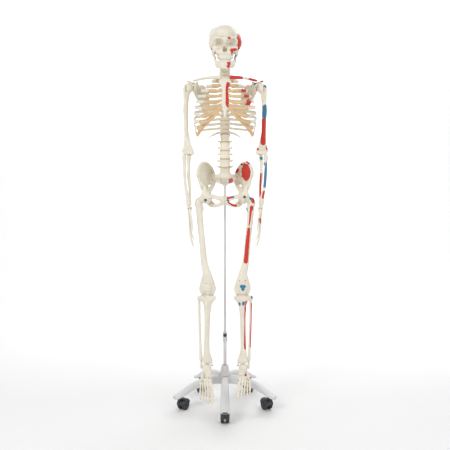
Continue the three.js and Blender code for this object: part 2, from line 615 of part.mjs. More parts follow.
// Left hip bone: iliac wing, crest, socket, pubic branch and sitting bone.
function hipBone() {
  const { x, y, z } = hip;
  const fan = [0.53, -0.85, 0];
  const wing = loft(
    [[88, -34, 1012], [82, -16, 1046], [84, -8, 1084], [88, -8, 1124], [90, -6, pelvis.crestTop - 6]],
    [[24, 13], [42, 8], [64, 4.5], [62, 4.5], [36, 4.5]], { sides: 6, steps: 5, wide: fan },
  );
  const crest = loft([[52, 50, 1108], [68, 30, 1140], [90, -6, pelvis.crestTop - 6], [110, -40, 1148], [122, -63, 1106]],
    [6, 5.5, 6.5, 7, 6], { sides: 5, steps: 7 });
  const sacralFace = egg([60, 18, 1078], [11, 24, 22], { around: 8, down: 5, tilt: [0, 0, Math.atan2(-fan[0], -fan[1])] });
  const cup = ball([x, y, z], hip.ball + hip.wall, { around: 10, down: 7 });
  const ramus = loft([[x - 16, y - 14, z + 4], [50, -98, 1000], [22, -108, 996], [4, -108, 990]],
    [[11, 9], [8, 7], [8, 10], [8, 13]], { sides: 5, steps: 4, wide: [0, 1, 0] });
  const seat = loft([[x - 14, y + 20, z + 6], [72, -30, 975], [62, -38, 968], [44, -64, 962], [16, -100, 978]],
    [[12, 14], [12, 14], [13, 12], [8, 7], [8, 9]], { sides: 5, steps: 6, wide: [0, 1, 0] });
  const mouth = box([x + 5, y - 60, z - 60], [x + 80, y + 60, z + 4]);
  const whole = join(wing, crest, sacralFace, cut(cup, mouth), ramus, seat);
  const room = ball([x, y, z], hip.ball + hip.clearance, { around: 12, down: 8 });
  const sweep = rod([x, y, z], [x + 50, y, z], hip.ball + hip.clearance, { sides: 12 });
  const middle = box([-30, -200, 900], [gap / 2, 200, 1200]);
  return cut(whole, room, sweep, sacrumBody(gap * 1.5), middle);
}

// ---------------------------------------------------------------- leg
function femur() {
  const { x, y } = hip;
  const z = hip.z + bodyRise;
  const head = ball([x, y, z], hip.ball, { around: 10, down: 7 });
  const neck = loft([[x + 4, y + 1, z - 2], [x + 16, y + 3, z - 12], [x + 26, y + 4, z - 24]], [[14, 13], [12, 12], [14, 14]],
    { sides: 7, steps: 2 });
  const trochanter = egg([x + 29, y + 5, z - 18], [11, 17, 17], { around: 8, down: 5 });
  const shaft = loft(
    [[x + 24, y + 4, z - 30], [x + 20, y + 1, z - 75], [x + 12, y - 12, z - 170], [x + 2, y - 22, z - 270],
      [knee.x + 2, knee.y - 6, knee.z + 62], [knee.x, knee.y - 8, knee.z + 12]],
    [[16, 15], [13, 13.5], [12, 13.5], [13, 13.5], [20, 13], [36, 13]], { sides: 7, steps: 9 },
  );
  const condyle = (side) => rod([knee.x + side * 8, knee.y, knee.z], [knee.x + side * knee.halfWidth, knee.y, knee.z],
    knee.radius, { sides: 12 });
  const bridge = rod([knee.x - 12, knee.y, knee.z], [knee.x + 12, knee.y, knee.z], knee.radius - 5, { sides: 8 });
  return join(head, neck, trochanter, shaft, condyle(1), condyle(-1), bridge);
}

function patella() {
  return egg([knee.x + 1, knee.y - knee.radius - 9, knee.z + 18], [19, 7, 20], { around: 8, down: 6, tilt: [0.12, 0, 0] });
}

function tibia() {
  const top = knee.z - 12;
  const plateau = loft([[knee.x, knee.y - 2, top], [knee.x, knee.y - 2, top - 12], [knee.x, knee.y, top - 40],
    [knee.x + 1, knee.y, top - 75]], [[37, 22], [38, 23], [26, 20], [15, 16]], { sides: 8, steps: 4 });
  const shaft = loft([[knee.x + 1, knee.y, top - 60], [knee.x + 1, knee.y - 3, top - 140], [knee.x + 2, knee.y, top - 240],
    [ankle.x, ankle.y, ankle.z + 45], [ankle.x - 2, ankle.y, ankle.z + 18]],
    [[16, 17], [12, 14], [10.5, 11], [14, 13], [21, 17]], { sides: 6, steps: 7 });
  const tuberosity = egg([knee.x + 4, knee.y - 20, top - 42], [9, 8, 17], { around: 6, down: 4 });
  const malleolus = egg([ankle.x - 20, ankle.y, ankle.z + 4], [6, 11, 16], { around: 6, down: 4 });
  const kneeNotch = rod([knee.x - 80, knee.y, knee.z], [knee.x + 80, knee.y, knee.z], knee.radius + 1.4, { sides: 14 });
  const ankleNotch = rod([ankle.x - ankle.halfWidth - ankle.clearance, ankle.y, ankle.z],
    [ankle.x + 60, ankle.y, ankle.z], ankle.radius + ankle.clearance, { sides: 12 });
  return cut(join(plateau, shaft, tuberosity, malleolus), kneeNotch, ankleNotch);
}

function fibula() {
  const top = knee.z - 30;
  const start = [knee.x + 40, knee.y + 20, top];
  return loft([start, [start[0], start[1] - 1, top - 20], [knee.x + 38, knee.y + 14, top - 160],
    [ankle.x + 29, ankle.y + 9, ankle.z + 60], [ankle.x + 25, ankle.y + 5, ankle.z + 4],
    [ankle.x + 24, ankle.y + 5, ankle.z - 16]],
    [[6, 7], [7.5, 8], [5, 6], [5.5, 6], [7, 10], [5, 6]], { sides: 6, steps: 8 });
}

// Foot drawn about the ankle axis with a level sole, then pitched toes down.
function footBones(side) {
  const { x } = ankle;
  const inner = -side;
  const { length, heel, soleDrop, toeDrop } = foot;
  const talus = rod([-ankle.halfWidth, 0, 0], [ankle.halfWidth, 0, 0], ankle.radius, { sides: 12 });
  const body = loft([[0, 14, -14], [0, -14, -24], [inner * 4, -42, -38], [inner * 3, -64, -46]],
    [[15, 12], [19, 17], [25, 17], [29, 13]], { sides: 7, steps: 3, wide: [1, 0, 0] });
  const heelBone = loft([[0, heel - 6, -48], [0, heel - 16, -50], [0, 2, -44], [side * 6, -34, -50]],
    [[12, 17], [15, soleDrop - 50], [14, 18], [12, 12]], { sides: 7, steps: 4 });
  const toes = [0, 1, 2, 3, 4].map((i) => {
    const across = inner * (24 - i * 12.5);
    const reach = length - [0, 1, 7, 17, 30][i];
    const thick = i === 0 ? [9, 8.5] : [6, 6];
    const knuckle = -(reach * 0.66);
    return loft([[across * 0.75, -56, -46], [across * 0.95, knuckle * 0.8, -58], [across * 1.12, knuckle, -66],
      [across * 1.15, -reach + 20, -65], [across * 1.12, -reach, -toeDrop - 2]],
      [thick, [thick[0] * 0.8, thick[1] * 0.8], [thick[0], thick[1] * 0.95], [thick[0] * 0.8, thick[1] * 0.7], [4, 3.5]],
      { sides: 5, steps: 5 });
  });
  const geometry = geometryOf(join(talus, body, heelBone, toes));
  geometry.rotateX(THREE.MathUtils.degToRad(side > 0 ? footPitch.left : footPitch.right));
  geometry.translate(side * x, ankle.y, ankle.z);
  return solidOf(geometry);
}

function addLegs() {
  add(body, 'sacrum', sacrum(), bone);
  addPair(body, 'hip_bone', hipBone(), bone);
  addPair(model, 'femur', femur(), bone);
  addPair(model, 'patella', patella(), bone);
  addPair(model, 'tibia', tibia(), bone);
  addPair(model, 'fibula', fibula(), bone);
  add(model, 'foot_left', footBones(1), bone);
  add(model, 'foot_right', footBones(-1), bone);
}

// ---------------------------------------------------------------- skull
const skullMid = { y: (skull.front + skull.back) / 2 + 6, z: 1694 };

function skullShell() {
  const halfDepth = (skull.back - skull.front) / 2 - 4;
  const outer = egg([0, skullMid.y + 6, skullMid.z], [skull.halfWidth, halfDepth, skull.vertex - skullMid.z],
    { around: 14, down: 10, tilt: [-0.12, 0, 0] });
  const brow = egg([0, skullMid.y - 34, skullMid.z + 4], [58, 64, 54], { around: 12, down: 8 });
  const inner = egg([0, skullMid.y + 6, skullMid.z + 3],
    [skull.halfWidth - skull.wall, halfDepth - skull.wall, skull.vertex - skullMid.z - skull.wall - 2],
    { around: 12, down: 8, tilt: [-0.12, 0, 0] });
  const room = inner.subtract(box([-100, -200, 1500], [100, 200, 1655]));
  return cut(join(outer, brow), room);
}

function skullCap() {
  return cut(skullShell(), box([-120, -220, 1400], [120, 200, skull.cutZ + gap]));
}

function skullBase() {
  const shell = cut(skullShell(), box([-120, -220, skull.cutZ], [120, 200, 1900]),
    box([-120, -220, 1400], [120, 200, 1632]));
  const face = loft([[0, -96, 1672], [0, -98, 1640], [0, -99, 1612]], [[50, 22], [38, 24], [26, 20]],
    { sides: 8, steps: 2 });
  const cheek = (s) => loft([[s * 28, -112, 1648], [s * 48, -104, 1652], [s * 62, -84, 1656], [s * 64, -58, 1658],
    [s * 60, -40, 1656]], [[7, 8], [7, 9], [5, 4], [3.5, 3.5], [5, 4]], { sides: 5, steps: 5, wide: [0, 0, 1] });
  const floor = egg([0, -38, 1650], [44, 46, 17], { around: 10, down: 4 });
  const mastoid = (s) => egg([s * 52, -24, 1636], [9, 13, 17], { around: 6, down: 4 });
  const condyle = (s) => egg([s * 14, -40, 1637], [7, 11, 7], { around: 6, down: 4 });
  const orbit = (s) => egg([s * 32, -118, 1669], [19, 30, 16], { around: 8, down: 6, tilt: [0, 0, s * 0.35] });
  const nose = egg([0, -124, 1642], [11, 24, 16], { around: 6, down: 5 });
  const bones = join(shell, face, floor, [1, -1].map(cheek), [1, -1].map(mastoid), [1, -1].map(condyle));
  const foramen = rod([0, -22, 1500], [0, -24, 1690], 15, { sides: 8 });
  const jawRoom = rod([-100, jaw.y, jaw.z], [100, jaw.y, jaw.z], 8, { sides: 10 });
  const jawSlots = [1, -1].map((s) => jawRoom.intersect(box([s > 0 ? 38 : -62, -200, 1500], [s > 0 ? 62 : -38, 100, 1800])));
  return cut(bones, [1, -1].map(orbit), nose, foramen, jawSlots);
}

function mandible() {
  const arch = loft([[44, -66, 1590], [37, -96, 1578], [18, -116, 1572], [0, -119, 1571], [-18, -116, 1572],
    [-37, -96, 1578], [-44, -66, 1590]],
    [[14, 4], [14, 5], [14, 6], [14, 7], [14, 6], [14, 5], [14, 4]], { sides: 6, steps: 10, wide: [0, 0, 1] });
  const branch = (s) => loft([[s * 44, -66, 1584], [s * 47, -60, 1610], [s * 48.5, jaw.y, jaw.z]],
    [[4, 14], [3, 14], [4, 4]], { sides: 6, steps: 3 });
  const knuckle = (s) => rod([s * 42, jaw.y, jaw.z], [s * 56, jaw.y, jaw.z], 6.5, { sides: 8 });
  return join(arch, [1, -1].map(branch), [1, -1].map(knuckle));
}

function addHead() {
  add(body, 'skull_cap', skullCap(), bone);
  add(body, 'skull_base', skullBase(), bone);
  add(body, 'mandible', mandible(), bone);
}

addStand();
addTrunk();
addArms();
addLegs();
addHead();

export default model;
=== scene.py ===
"""A life-size teaching skeleton on a wheeled pelvic stand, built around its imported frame.

Every bone is a field of distances made of rods, eggs and plates (formulas below), turned into a smooth skin
with numpy. Ribs, cartilage, discs, teeth and the stand are surfaces of two parameters carried along paths.
Lengths in the shape code are millimetres; meshes are written in metres.
"""
import json
import math

import bpy
import numpy as np
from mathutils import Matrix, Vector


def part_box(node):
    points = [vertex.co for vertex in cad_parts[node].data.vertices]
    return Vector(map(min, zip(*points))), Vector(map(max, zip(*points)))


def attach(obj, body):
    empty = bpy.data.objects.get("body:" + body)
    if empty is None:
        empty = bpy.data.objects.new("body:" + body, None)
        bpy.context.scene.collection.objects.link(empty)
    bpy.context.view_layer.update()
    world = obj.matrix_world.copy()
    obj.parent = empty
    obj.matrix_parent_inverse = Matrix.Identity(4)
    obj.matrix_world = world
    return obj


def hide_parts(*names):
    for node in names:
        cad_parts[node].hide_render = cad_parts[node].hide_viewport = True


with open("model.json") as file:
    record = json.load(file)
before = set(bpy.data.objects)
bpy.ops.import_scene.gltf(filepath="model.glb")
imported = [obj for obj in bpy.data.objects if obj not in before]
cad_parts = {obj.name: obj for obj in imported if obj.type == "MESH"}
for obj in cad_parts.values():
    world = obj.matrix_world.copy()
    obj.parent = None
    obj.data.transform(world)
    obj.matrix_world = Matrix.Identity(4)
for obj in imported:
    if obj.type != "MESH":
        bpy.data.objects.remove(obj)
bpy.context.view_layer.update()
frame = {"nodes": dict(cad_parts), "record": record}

MM = 0.001
JOINTS = {joint["name"]: joint for joint in frame["record"]["behaviour"]["joints"]}
SIDES = (("left", 1), ("right", -1))


def joint_at(name):
    """A joint's place in millimetres."""
    return np.array(JOINTS[name].get("pos_m", (0, 0, 0))) / MM


def node_box(node):
    """A frame node's lowest and highest corners in millimetres."""
    low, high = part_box(node)
    return np.array(low) / MM, np.array(high) / MM


HIP = joint_at("hip_left")
KNEE = joint_at("knee_left")
ANKLE = joint_at("ankle_left")
SHOULDER = joint_at("shoulder_left")
ELBOW = joint_at("elbow_left")
RADIUS_HEAD = joint_at("forearm_turn_left")
WRIST = joint_at("wrist_left")
JAW = joint_at("jaw_open")
POLE = joint_at("trunk_swivel")
FOOT_PITCH = {"left": 2.0, "right": 16.0}   # degrees that the toes point below level
SKULL_CUT = node_box("skull_cap")[0][2]


# ---------------------------------------------------------------- fields
def soft_least(a, b, blend):
    """The smaller of two distances, rounded over where they are within blend of each other."""
    share = np.clip(0.5 + 0.5 * (b - a) / blend, 0.0, 1.0)
    return b + (a - b) * share - blend * share * (1.0 - share)


def smooth_path(points, pieces):
    """A Catmull-Rom curve through rows of points, sampled pieces times between each two of them."""
    points = np.asarray(points, float)
    if len(points) < 3 or pieces == 1:
        return points
    padded = np.vstack([2 * points[0] - points[1], points, 2 * points[-1] - points[-2]])
    t = np.linspace(0, 1, pieces, endpoint=False)[:, None]
    a, b, c, d = (padded[i:len(padded) - 3 + i, None, :] for i in range(4))
    curve = 0.5 * (2 * b + (c - a) * t + (2 * a - 5 * b + 4 * c - d) * t**2 + (3 * b - a - 3 * c + d) * t**3)
    return np.vstack([curve.reshape(-1, points.shape[1]), points[-1:]])


class Form:
    """A solid built up from shapes, as a grid of distances to its skin in millimetres."""

    def __init__(self, voxel=1.8):
        self.voxel = voxel
        self.steps = []
        self.low = np.full(3, np.inf)
        self.high = np.full(3, -np.inf)

    def _note(self, kind, low, high, distance, blend):
        """Keeps one step: the box that it can reach, its distance and how softly it joins."""
        if kind == "add":
            self.low = np.minimum(self.low, low)
            self.high = np.maximum(self.high, high)
        self.steps.append((kind, low, high, distance, blend))

    def rod(self, points, radii, wide=(1, 0, 0), blend=4.0, pieces=4, carve=False):
        """A rod along a curve. Its section is an ellipse: radii are (along wide, across), or one number.
        The distance is (q - 1) * smaller radius, where q is the offset from the curve over the radii."""
        sizes = np.array([r if isinstance(r, (tuple, list)) else (r, r) for r in radii], float)
        both = smooth_path(np.hstack([np.asarray(points, float), sizes]), pieces)
        path, sizes = both[:, :3], np.maximum(both[:, 3:], 0.4)
        wide = np.asarray(wide, float) / np.linalg.norm(wide)
        reach = sizes.max() + blend + self.voxel

        def distance(grid):
            total = np.full(grid[0].shape[:1] + grid[1].shape[1:2] + grid[2].shape[2:], 1e3, np.float32)
            for a, b, ra, rb in zip(path[:-1], path[1:], sizes[:-1], sizes[1:]):
                spread = max(ra.max(), rb.max()) + blend + self.voxel
                window = self._window(grid, np.minimum(a, b) - spread, np.maximum(a, b) + spread)
                if window is None:
                    continue
                place, (x, y, z) = window
                way = b - a
                t = ((x - a[0]) * way[0] + (y - a[1]) * way[1] + (z - a[2]) * way[2]) / max(way @ way, 1e-9)
                t = np.clip(t, 0, 1)
                dx, dy, dz = x - a[0] - t * way[0], y - a[1] - t * way[1], z - a[2] - t * way[2]
                along = dx * wide[0] + dy * wide[1] + dz * wide[2]
                across = np.maximum(dx * dx + dy * dy + dz * dz - along * along, 0)
                first, second = ra[0] + (rb[0] - ra[0]) * t, ra[1] + (rb[1] - ra[1]) * t
                q = np.sqrt((along / first) ** 2 + across / second**2)
                found = (q - 1) * np.minimum(first, second)
                total[place] = np.minimum(total[place], found)
            return total

        self._note("carve" if carve else "add", path.min(0) - reach, path.max(0) + reach, distance, blend)
        return self

    def egg(self, centre, radii, turn=(0, 0, 0), blend=4.0, carve=False):
        """An ellipsoid. Its distance is q * (q - 1) / |offset over radii squared|, where q is the length of
        the offset from the centre over the radii."""
        centre = np.asarray(centre, float)
        radii = np.asarray(radii, float)
        cx, cy, cz = np.cos(turn)
        sx, sy, sz = np.sin(turn)
        spin = (np.array([[cz, -sz, 0], [sz, cz, 0], [0, 0, 1]])
                @ np.array([[cy, 0, sy], [0, 1, 0], [-sy, 0, cy]])
                @ np.array([[1, 0, 0], [0, cx, -sx], [0, sx, cx]]))
        reach = radii.max() + blend + self.voxel

        def distance(grid):
            x, y, z = (g - c for g, c in zip(grid, centre))
            local = [spin[0, i] * x + spin[1, i] * y + spin[2, i] * z for i in range(3)]
            q = np.sqrt(sum((v / r) ** 2 for v, r in zip(local, radii)))
            slope = np.sqrt(sum((v / r**2) ** 2 for v, r in zip(local, radii)))
            return (q * (q - 1) / np.maximum(slope, 1e-6)).astype(np.float32)

        self._note("carve" if carve else "add", centre - reach, centre + reach, distance, blend)
        return self

    def plate(self, outline, origin, across, up, thickness, bow=0.0, blend=3.0, edge=1.0):
        """A plate: a polygon in the plane of across and up, with a thickness, bowed like a shallow dish.
        The distance is the larger of the distance past the outline and the distance off the dish."""
        outline = np.asarray(outline, float)
        origin = np.asarray(origin, float)
        across = np.asarray(across, float) / np.linalg.norm(across)
        up = np.asarray(up, float) - across * (np.asarray(up, float) @ across)
        up /= np.linalg.norm(up)
        out = np.cross(across, up)
        corners = origin + outline[:, :1] * across + outline[:, 1:] * up
        middle = outline.mean(0)
        size = np.abs(outline - middle).max()
        reach = thickness + abs(bow) + blend + self.voxel + 2

        def distance(grid):
            x, y, z = (g - c for g, c in zip(grid, origin))
            u, v, w = (x * a[0] + y * a[1] + z * a[2] for a in (across, up, out))
            far = np.full(u.shape, 1e6)
            inside = np.zeros(u.shape, bool)
            for (ax, ay), (bx, by) in zip(outline, np.roll(outline, -1, 0)):
                ex, ey = bx - ax, by - ay
                t = np.clip(((u - ax) * ex + (v - ay) * ey) / (ex * ex + ey * ey), 0, 1)
                far = np.minimum(far, (u - ax - t * ex) ** 2 + (v - ay - t * ey) ** 2)
                crosses = (ay > v) != (by > v)
                inside ^= crosses & (u < ax + (v - ay) * ex / (ey if abs(ey) > 1e-9 else 1e-9))
            rim = np.sqrt(far) * np.where(inside, -1, 1)
            dish = bow * (1 - ((u - middle[0]) ** 2 + (v - middle[1]) ** 2) / size**2)
            face = np.abs(w - dish) - thickness / 2
            return (-soft_least(-rim - edge, -face, 2.0)).astype(np.float32)

        self._note("add", corners.min(0) - reach, corners.max(0) + reach, distance, blend)
        return self

    def _window(self, grid, low, high):
        """The part of a grid between two corners: its slices and its axes, or nothing if it is empty."""
        axes = [g.ravel() for g in grid]
        spans = [(np.searchsorted(axis, lo), np.searchsorted(axis, hi)) for axis, lo,
                 hi in zip(axes, low, high)]
        if any(a >= b for a, b in spans):
            return None
        place = tuple(slice(a, b) for a, b in spans)
        x, y, z = (axis[s] for axis, s in zip(axes, place))
        return place, (x[:, None, None], y[None, :, None], z[None, None, :])

    def field(self):
        """The grid of distances after every step, with the three axes of coordinates."""
        margin = 2.5 * self.voxel
        axes = [np.arange(lo - margin, hi + margin, self.voxel) for lo, hi in zip(self.low, self.high)]
        grid = (axes[0][:, None, None], axes[1][None, :, None], axes[2][None, None, :])
        value = np.full(tuple(len(a) for a in axes), 1e3, np.float32)
        for kind, low, high, distance, blend in self.steps:
            window = self._window(grid, low, high)
            if window is None:
                continue
            place, local = window
            found = distance(local)
            if kind == "add":
                value[place] = soft_least(value[place], found, blend)
            else:
                value[place] = -soft_least(-value[place], found, blend)
        return value, axes

    def skin(self, above=None, below=None, smooth=1):
        """The surface where the distance is nought: points, faces with four corners, and how deep in a
        hollow each point lies (0 open, 1 enclosed). above and below cut the solid level at a height."""
        whole, axes = self.field()
        value = whole
        if above is not None:
            value = np.maximum(value, (above - axes[2])[None, None, :])
        if below is not None:
            value = np.maximum(value, (axes[2] - below)[None, None, :])
        value = value.copy()
        value[0], value[-1], value[:, 0], value[:, -1], value[:, :, 0], value[:, :, -1] = (1e2,) * 6
        points, faces = surface_net(value, [a[0] for a in axes], self.voxel)
        for _ in range(smooth):
            points = relax(points, faces)
        for cut in (above, below):
            if cut is not None:
                points = square_rim(points, cut, whole, axes, self.voxel)
        return points, faces, hollows(whole, axes, points, self.voxel)


def surface_net(value, low, step):
    """One point in each cell that the skin crosses, at the mean of the crossings on its edges, and one face
    round each crossed edge. Every grid edge is worked on at once."""
    shape = np.array(value.shape)
    inside = value < 0
    keys, spots, flips = [], [], []
    for axis in range(3):
        second, third = (axis + 1) % 3, (axis + 2) % 3
        head = [slice(None)] * 3
        tail = [slice(None)] * 3
        head[axis], tail[axis] = slice(None, -1), slice(1, None)
        where = np.argwhere(inside[tuple(head)] != inside[tuple(tail)])
        step_on = np.zeros(3, int)
        step_on[axis] = 1
        first = value[tuple(where.T)]
        last = value[tuple((where + step_on).T)]
        spot = where.astype(float)
        spot[:, axis] += first / (first - last)
        around = []
        for back_second, back_third in ((1, 1), (0, 1), (0, 0), (1, 0)):
            cell = where.copy()
            cell[:, second] -= back_second
            cell[:, third] -= back_third
            around.append(np.ravel_multi_index(cell.T, shape))
        keys.append(np.stack(around, 1))
        spots.append(spot)
        flips.append(first > 0)
    keys, spots, flips = np.vstack(keys), np.vstack(spots), np.concatenate(flips)
    cells, faces = np.unique(keys.ravel(), return_inverse=True)
    faces = faces.reshape(-1, 4)
    count = np.bincount(faces.ravel(), minlength=len(cells))
    points = np.stack([np.bincount(faces.ravel(), np.repeat(spots[:, i], 4), len(cells)) / count
                       for i in range(3)], 1)
    faces[flips] = faces[flips][:, ::-1]
    return points * step + np.asarray(low), faces


def relax(points, faces, share=0.5):
    """Each point moved a share of the way to the mean of its neighbours."""
    a = np.concatenate([faces[:, i] for i in range(4)])
    b = np.concatenate([faces[:, (i + 1) % 4] for i in range(4)])
    count = np.bincount(a, minlength=len(points))
    mean = np.stack([np.bincount(a, points[b, i], len(points)) / count for i in range(3)], 1)
    return points + share * (mean - points)


def look_up(value, axes, points, step):
    """Distances at any points, by trilinear interpolation of the grid."""
    spot = np.stack([(points[:, i] - axes[i][0]) / step for i in range(3)], 1)
    spot = np.clip(spot, 0, np.array(value.shape) - 1.001)
    base = spot.astype(int)
    part = spot - base
    total = 0
    for corner in range(8):
        shift = np.array([corner >> 2 & 1, corner >> 1 & 1, corner & 1])
        weight = np.prod(np.where(shift, part, 1 - part), 1)
        total = total + weight * value[tuple((base + shift).T)]
    return total


def square_rim(points, cut, value, axes, step):
    """Points near a level cut laid on its plane, and those by the skin pushed level out to the uncut skin."""
    near = np.abs(points[:, 2] - cut) < 0.85 * step
    points[near, 2] = cut
    for _ in range(3):
        gap = look_up(value, axes, points, step)
        slope = np.stack([look_up(value, axes, points + n, step) - look_up(value, axes, points - n, step)
                          for n in np.eye(3)[:2] * step], 1) / (2 * step)
        size = np.maximum((slope**2).sum(1), 0.1)
        rim = near & (np.abs(gap) < 1.1 * step)
        points[rim, :2] -= (slope * (gap / size)[:, None])[rim]
    return points


# the materials darken enclosed points by this value as painted shade, partly a brownish wash
def hollows(value, axes, points, step, reach=6.0):
    """How enclosed each point is: one minus the distance found reach outwards from it, over reach."""
    nudge = np.eye(3) * step
    slope = np.stack([look_up(value, axes, points + n, step) - look_up(value, axes, points - n, step)
                      for n in nudge], 1)
    slope /= np.maximum(np.linalg.norm(slope, axis=1, keepdims=True), 1e-6)
    found = look_up(value, axes, points + slope * reach, step)
    return np.clip(1 - found / reach, 0, 1)


# ---------------------------------------------------------------- meshes
def new_object(name, points, faces, material, smooth=True):
    """A mesh object from points in millimetres and faces with three or four corners."""
    mesh = bpy.data.meshes.new(name)
    corners = faces.shape[1]
    mesh.vertices.add(len(points))
    mesh.vertices.foreach_set("co", (np.asarray(points) * MM).astype(np.float32).ravel())
    mesh.loops.add(faces.size)
    mesh.loops.foreach_set("vertex_index", faces.astype(np.int32).ravel())
    mesh.polygons.add(len(faces))
    mesh.polygons.foreach_set("loop_start", np.arange(0, faces.size, corners, dtype=np.int32))
    mesh.polygons.foreach_set("use_smooth", np.full(len(faces), smooth))
    mesh.update(calc_edges=True)
    mesh.validate()
    made = bpy.data.objects.new(name, mesh)
    bpy.context.scene.collection.objects.link(made)
    mesh.materials.append(material)
    return made


def paint_on(made, **layers):
    """Numbers from 0 to 1 on a mesh's points, which its material reads by name."""
    for name, values in layers.items():
        layer = made.data.attributes.new(name, "FLOAT", "POINT")
        layer.data.foreach_set("value", np.asarray(values, np.float32))


def place(made, body, slot, *nodes):
    """Says which body a piece moves with and which frame nodes it stands for; slot is not used."""
    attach(made, body)
    if nodes:
        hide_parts(*nodes)


def bone(name, skin, body, material, nodes=(), slot="bone", red=None, blue=None):
    """A bone from its skin, with hollows and painted muscle patches as layers on its points."""
    points, faces, depth = skin
    made = new_object(name, points, faces, material)
    # the hollow layer feeds the painted shade that darkens recesses in the bone material
    layers = {"hollow": depth}
    if red:
        layers["red"] = patches(points, red)
    if blue:
        layers["blue"] = patches(points, blue)
    paint_on(made, **layers)
    place(made, body, slot, *nodes)
    return made


def mirrored(skin):
    """The same skin on the other side of the middle plane."""
    points, faces, depth = skin
    return points * (-1, 1, 1), faces[:, ::-1], depth


def both_sides(name, skin, body, material, red=None, blue=None, nodes=None):
    """A left bone, painted, and its plain mirror image."""
    stem = nodes or (name,)
    bone(f"{name}_left_bone", skin, f"{body}_left", material, [f"{n}_left" for n in stem], red=red, blue=blue)
    bone(f"{name}_right_bone", mirrored(skin), f"{body}_right", material, [f"{n}_right" for n in stem])


def patches(points, spots):
    """How strongly each point is painted. A spot is (centre, radii) or (points of a stripe, radius, facing)
    with facing not used; 1 well inside, 0.5 at the edge, 0 outside."""
    total = np.zeros(len(points))
    for spot in spots:
        if np.ndim(spot[0]) == 1:
            centre, radii = (np.asarray(v, float) for v in spot[:2])
            q = np.sqrt((((points - centre) / radii) ** 2).sum(1))
            total = np.maximum(total, np.clip(1.5 - q, 0, 1))
            continue
        path, radius = smooth_path(spot[0], 4), spot[1]
        nearest = np.full(len(points), 1e6)
        for a, b in zip(path[:-1], path[1:]):
            t = np.clip(((points - a) @ (b - a)) / ((b - a) @ (b - a)), 0, 1)
            nearest = np.minimum(nearest, np.linalg.norm(points - a - t[:, None] * (b - a), axis=1))
        total = np.maximum(total, np.clip(1.5 - nearest / radius, 0, 1))
    return total


def rounded(value, power):
    """A number raised to a power with its sign kept: under 1 it squares a round section's corners."""
    return np.sign(value) * np.abs(value) ** power


def tube(path, radii, sides=16, wide=(1, 0, 0), power=2.0, steps=4):
    """A section carried along a path. At angle a the section is (first radius * cos a, second * sin a), each
    raised to 2 / power, turned into the plane across the path, with wide as its first axis. Ends close in a
    point ring."""
    sizes = np.array([r if isinstance(r, (tuple, list)) else (r, r) for r in radii], float)
    both = smooth_path(np.hstack([np.asarray(path, float), sizes]), steps)
    path, sizes = both[:, :3], both[:, 3:]
    along = np.gradient(path, axis=0)
    along /= np.linalg.norm(along, axis=1, keepdims=True)
    across = np.asarray(wide, float) - along * (along @ np.asarray(wide, float))[:, None]
    across /= np.linalg.norm(across, axis=1, keepdims=True)
    third = np.cross(along, across)
    angle = np.linspace(0, 2 * np.pi, sides, endpoint=False)
    first = rounded(np.cos(angle), 2 / power)
    second = rounded(np.sin(angle), 2 / power)
    rings = (path[:, None] + across[:, None] * (sizes[:, :1] * first)[..., None]
             + third[:, None] * (sizes[:, 1:] * second)[..., None])
    return grid_faces(rings, path[0], path[-1])


def grid_faces(rings, start=None, end=None):
    """Points and four-cornered faces of rings joined one to the next, capped by a point at each end."""
    rows, sides = rings.shape[:2]
    points = rings.reshape(-1, 3)
    i, j = np.meshgrid(np.arange(rows - 1), np.arange(sides), indexing="ij")
    k = (j + 1) % sides
    faces = np.stack([i * sides + j, i * sides + k, (i + 1) * sides + k, (i + 1) * sides + j],
                     -1).reshape(-1, 4)
    j = np.arange(sides)
    k = (j + 1) % sides
    if start is not None:
        points = np.vstack([points, start])
        hub = len(points) - 1
        faces = np.vstack([faces, np.stack([k, j, np.full(sides, hub), np.full(sides, hub)], 1)])
    if end is not None:
        points = np.vstack([points, end])
        hub = len(points) - 1
        last = (rows - 1) * sides
        faces = np.vstack([faces, np.stack([last + j, last + k, np.full(sides, hub), np.full(sides, hub)],
                                           1)])
    return points, faces


def lathe(profile, centre, axis=(0, 0, 1), sides=48):
    """A profile of (distance from the axis, distance along it) turned once round the axis."""
    axis = np.asarray(axis, float) / np.linalg.norm(axis)
    side = np.cross(axis, (0, 0, 1) if abs(axis[2]) < 0.9 else (0, 1, 0))
    side /= np.linalg.norm(side)
    other = np.cross(axis, side)
    angle = np.linspace(0, 2 * np.pi, sides, endpoint=False)
    profile = np.asarray(profile, float)
    round_ = side * np.cos(angle)[:, None] + other * np.sin(angle)[:, None]
    rings = np.asarray(centre) + profile[:, None, :1] * round_ + profile[:, None, 1:] * axis
    return grid_faces(rings, np.asarray(centre) + profile[0, 1] * axis,
                      np.asarray(centre) + profile[-1, 1] * axis)


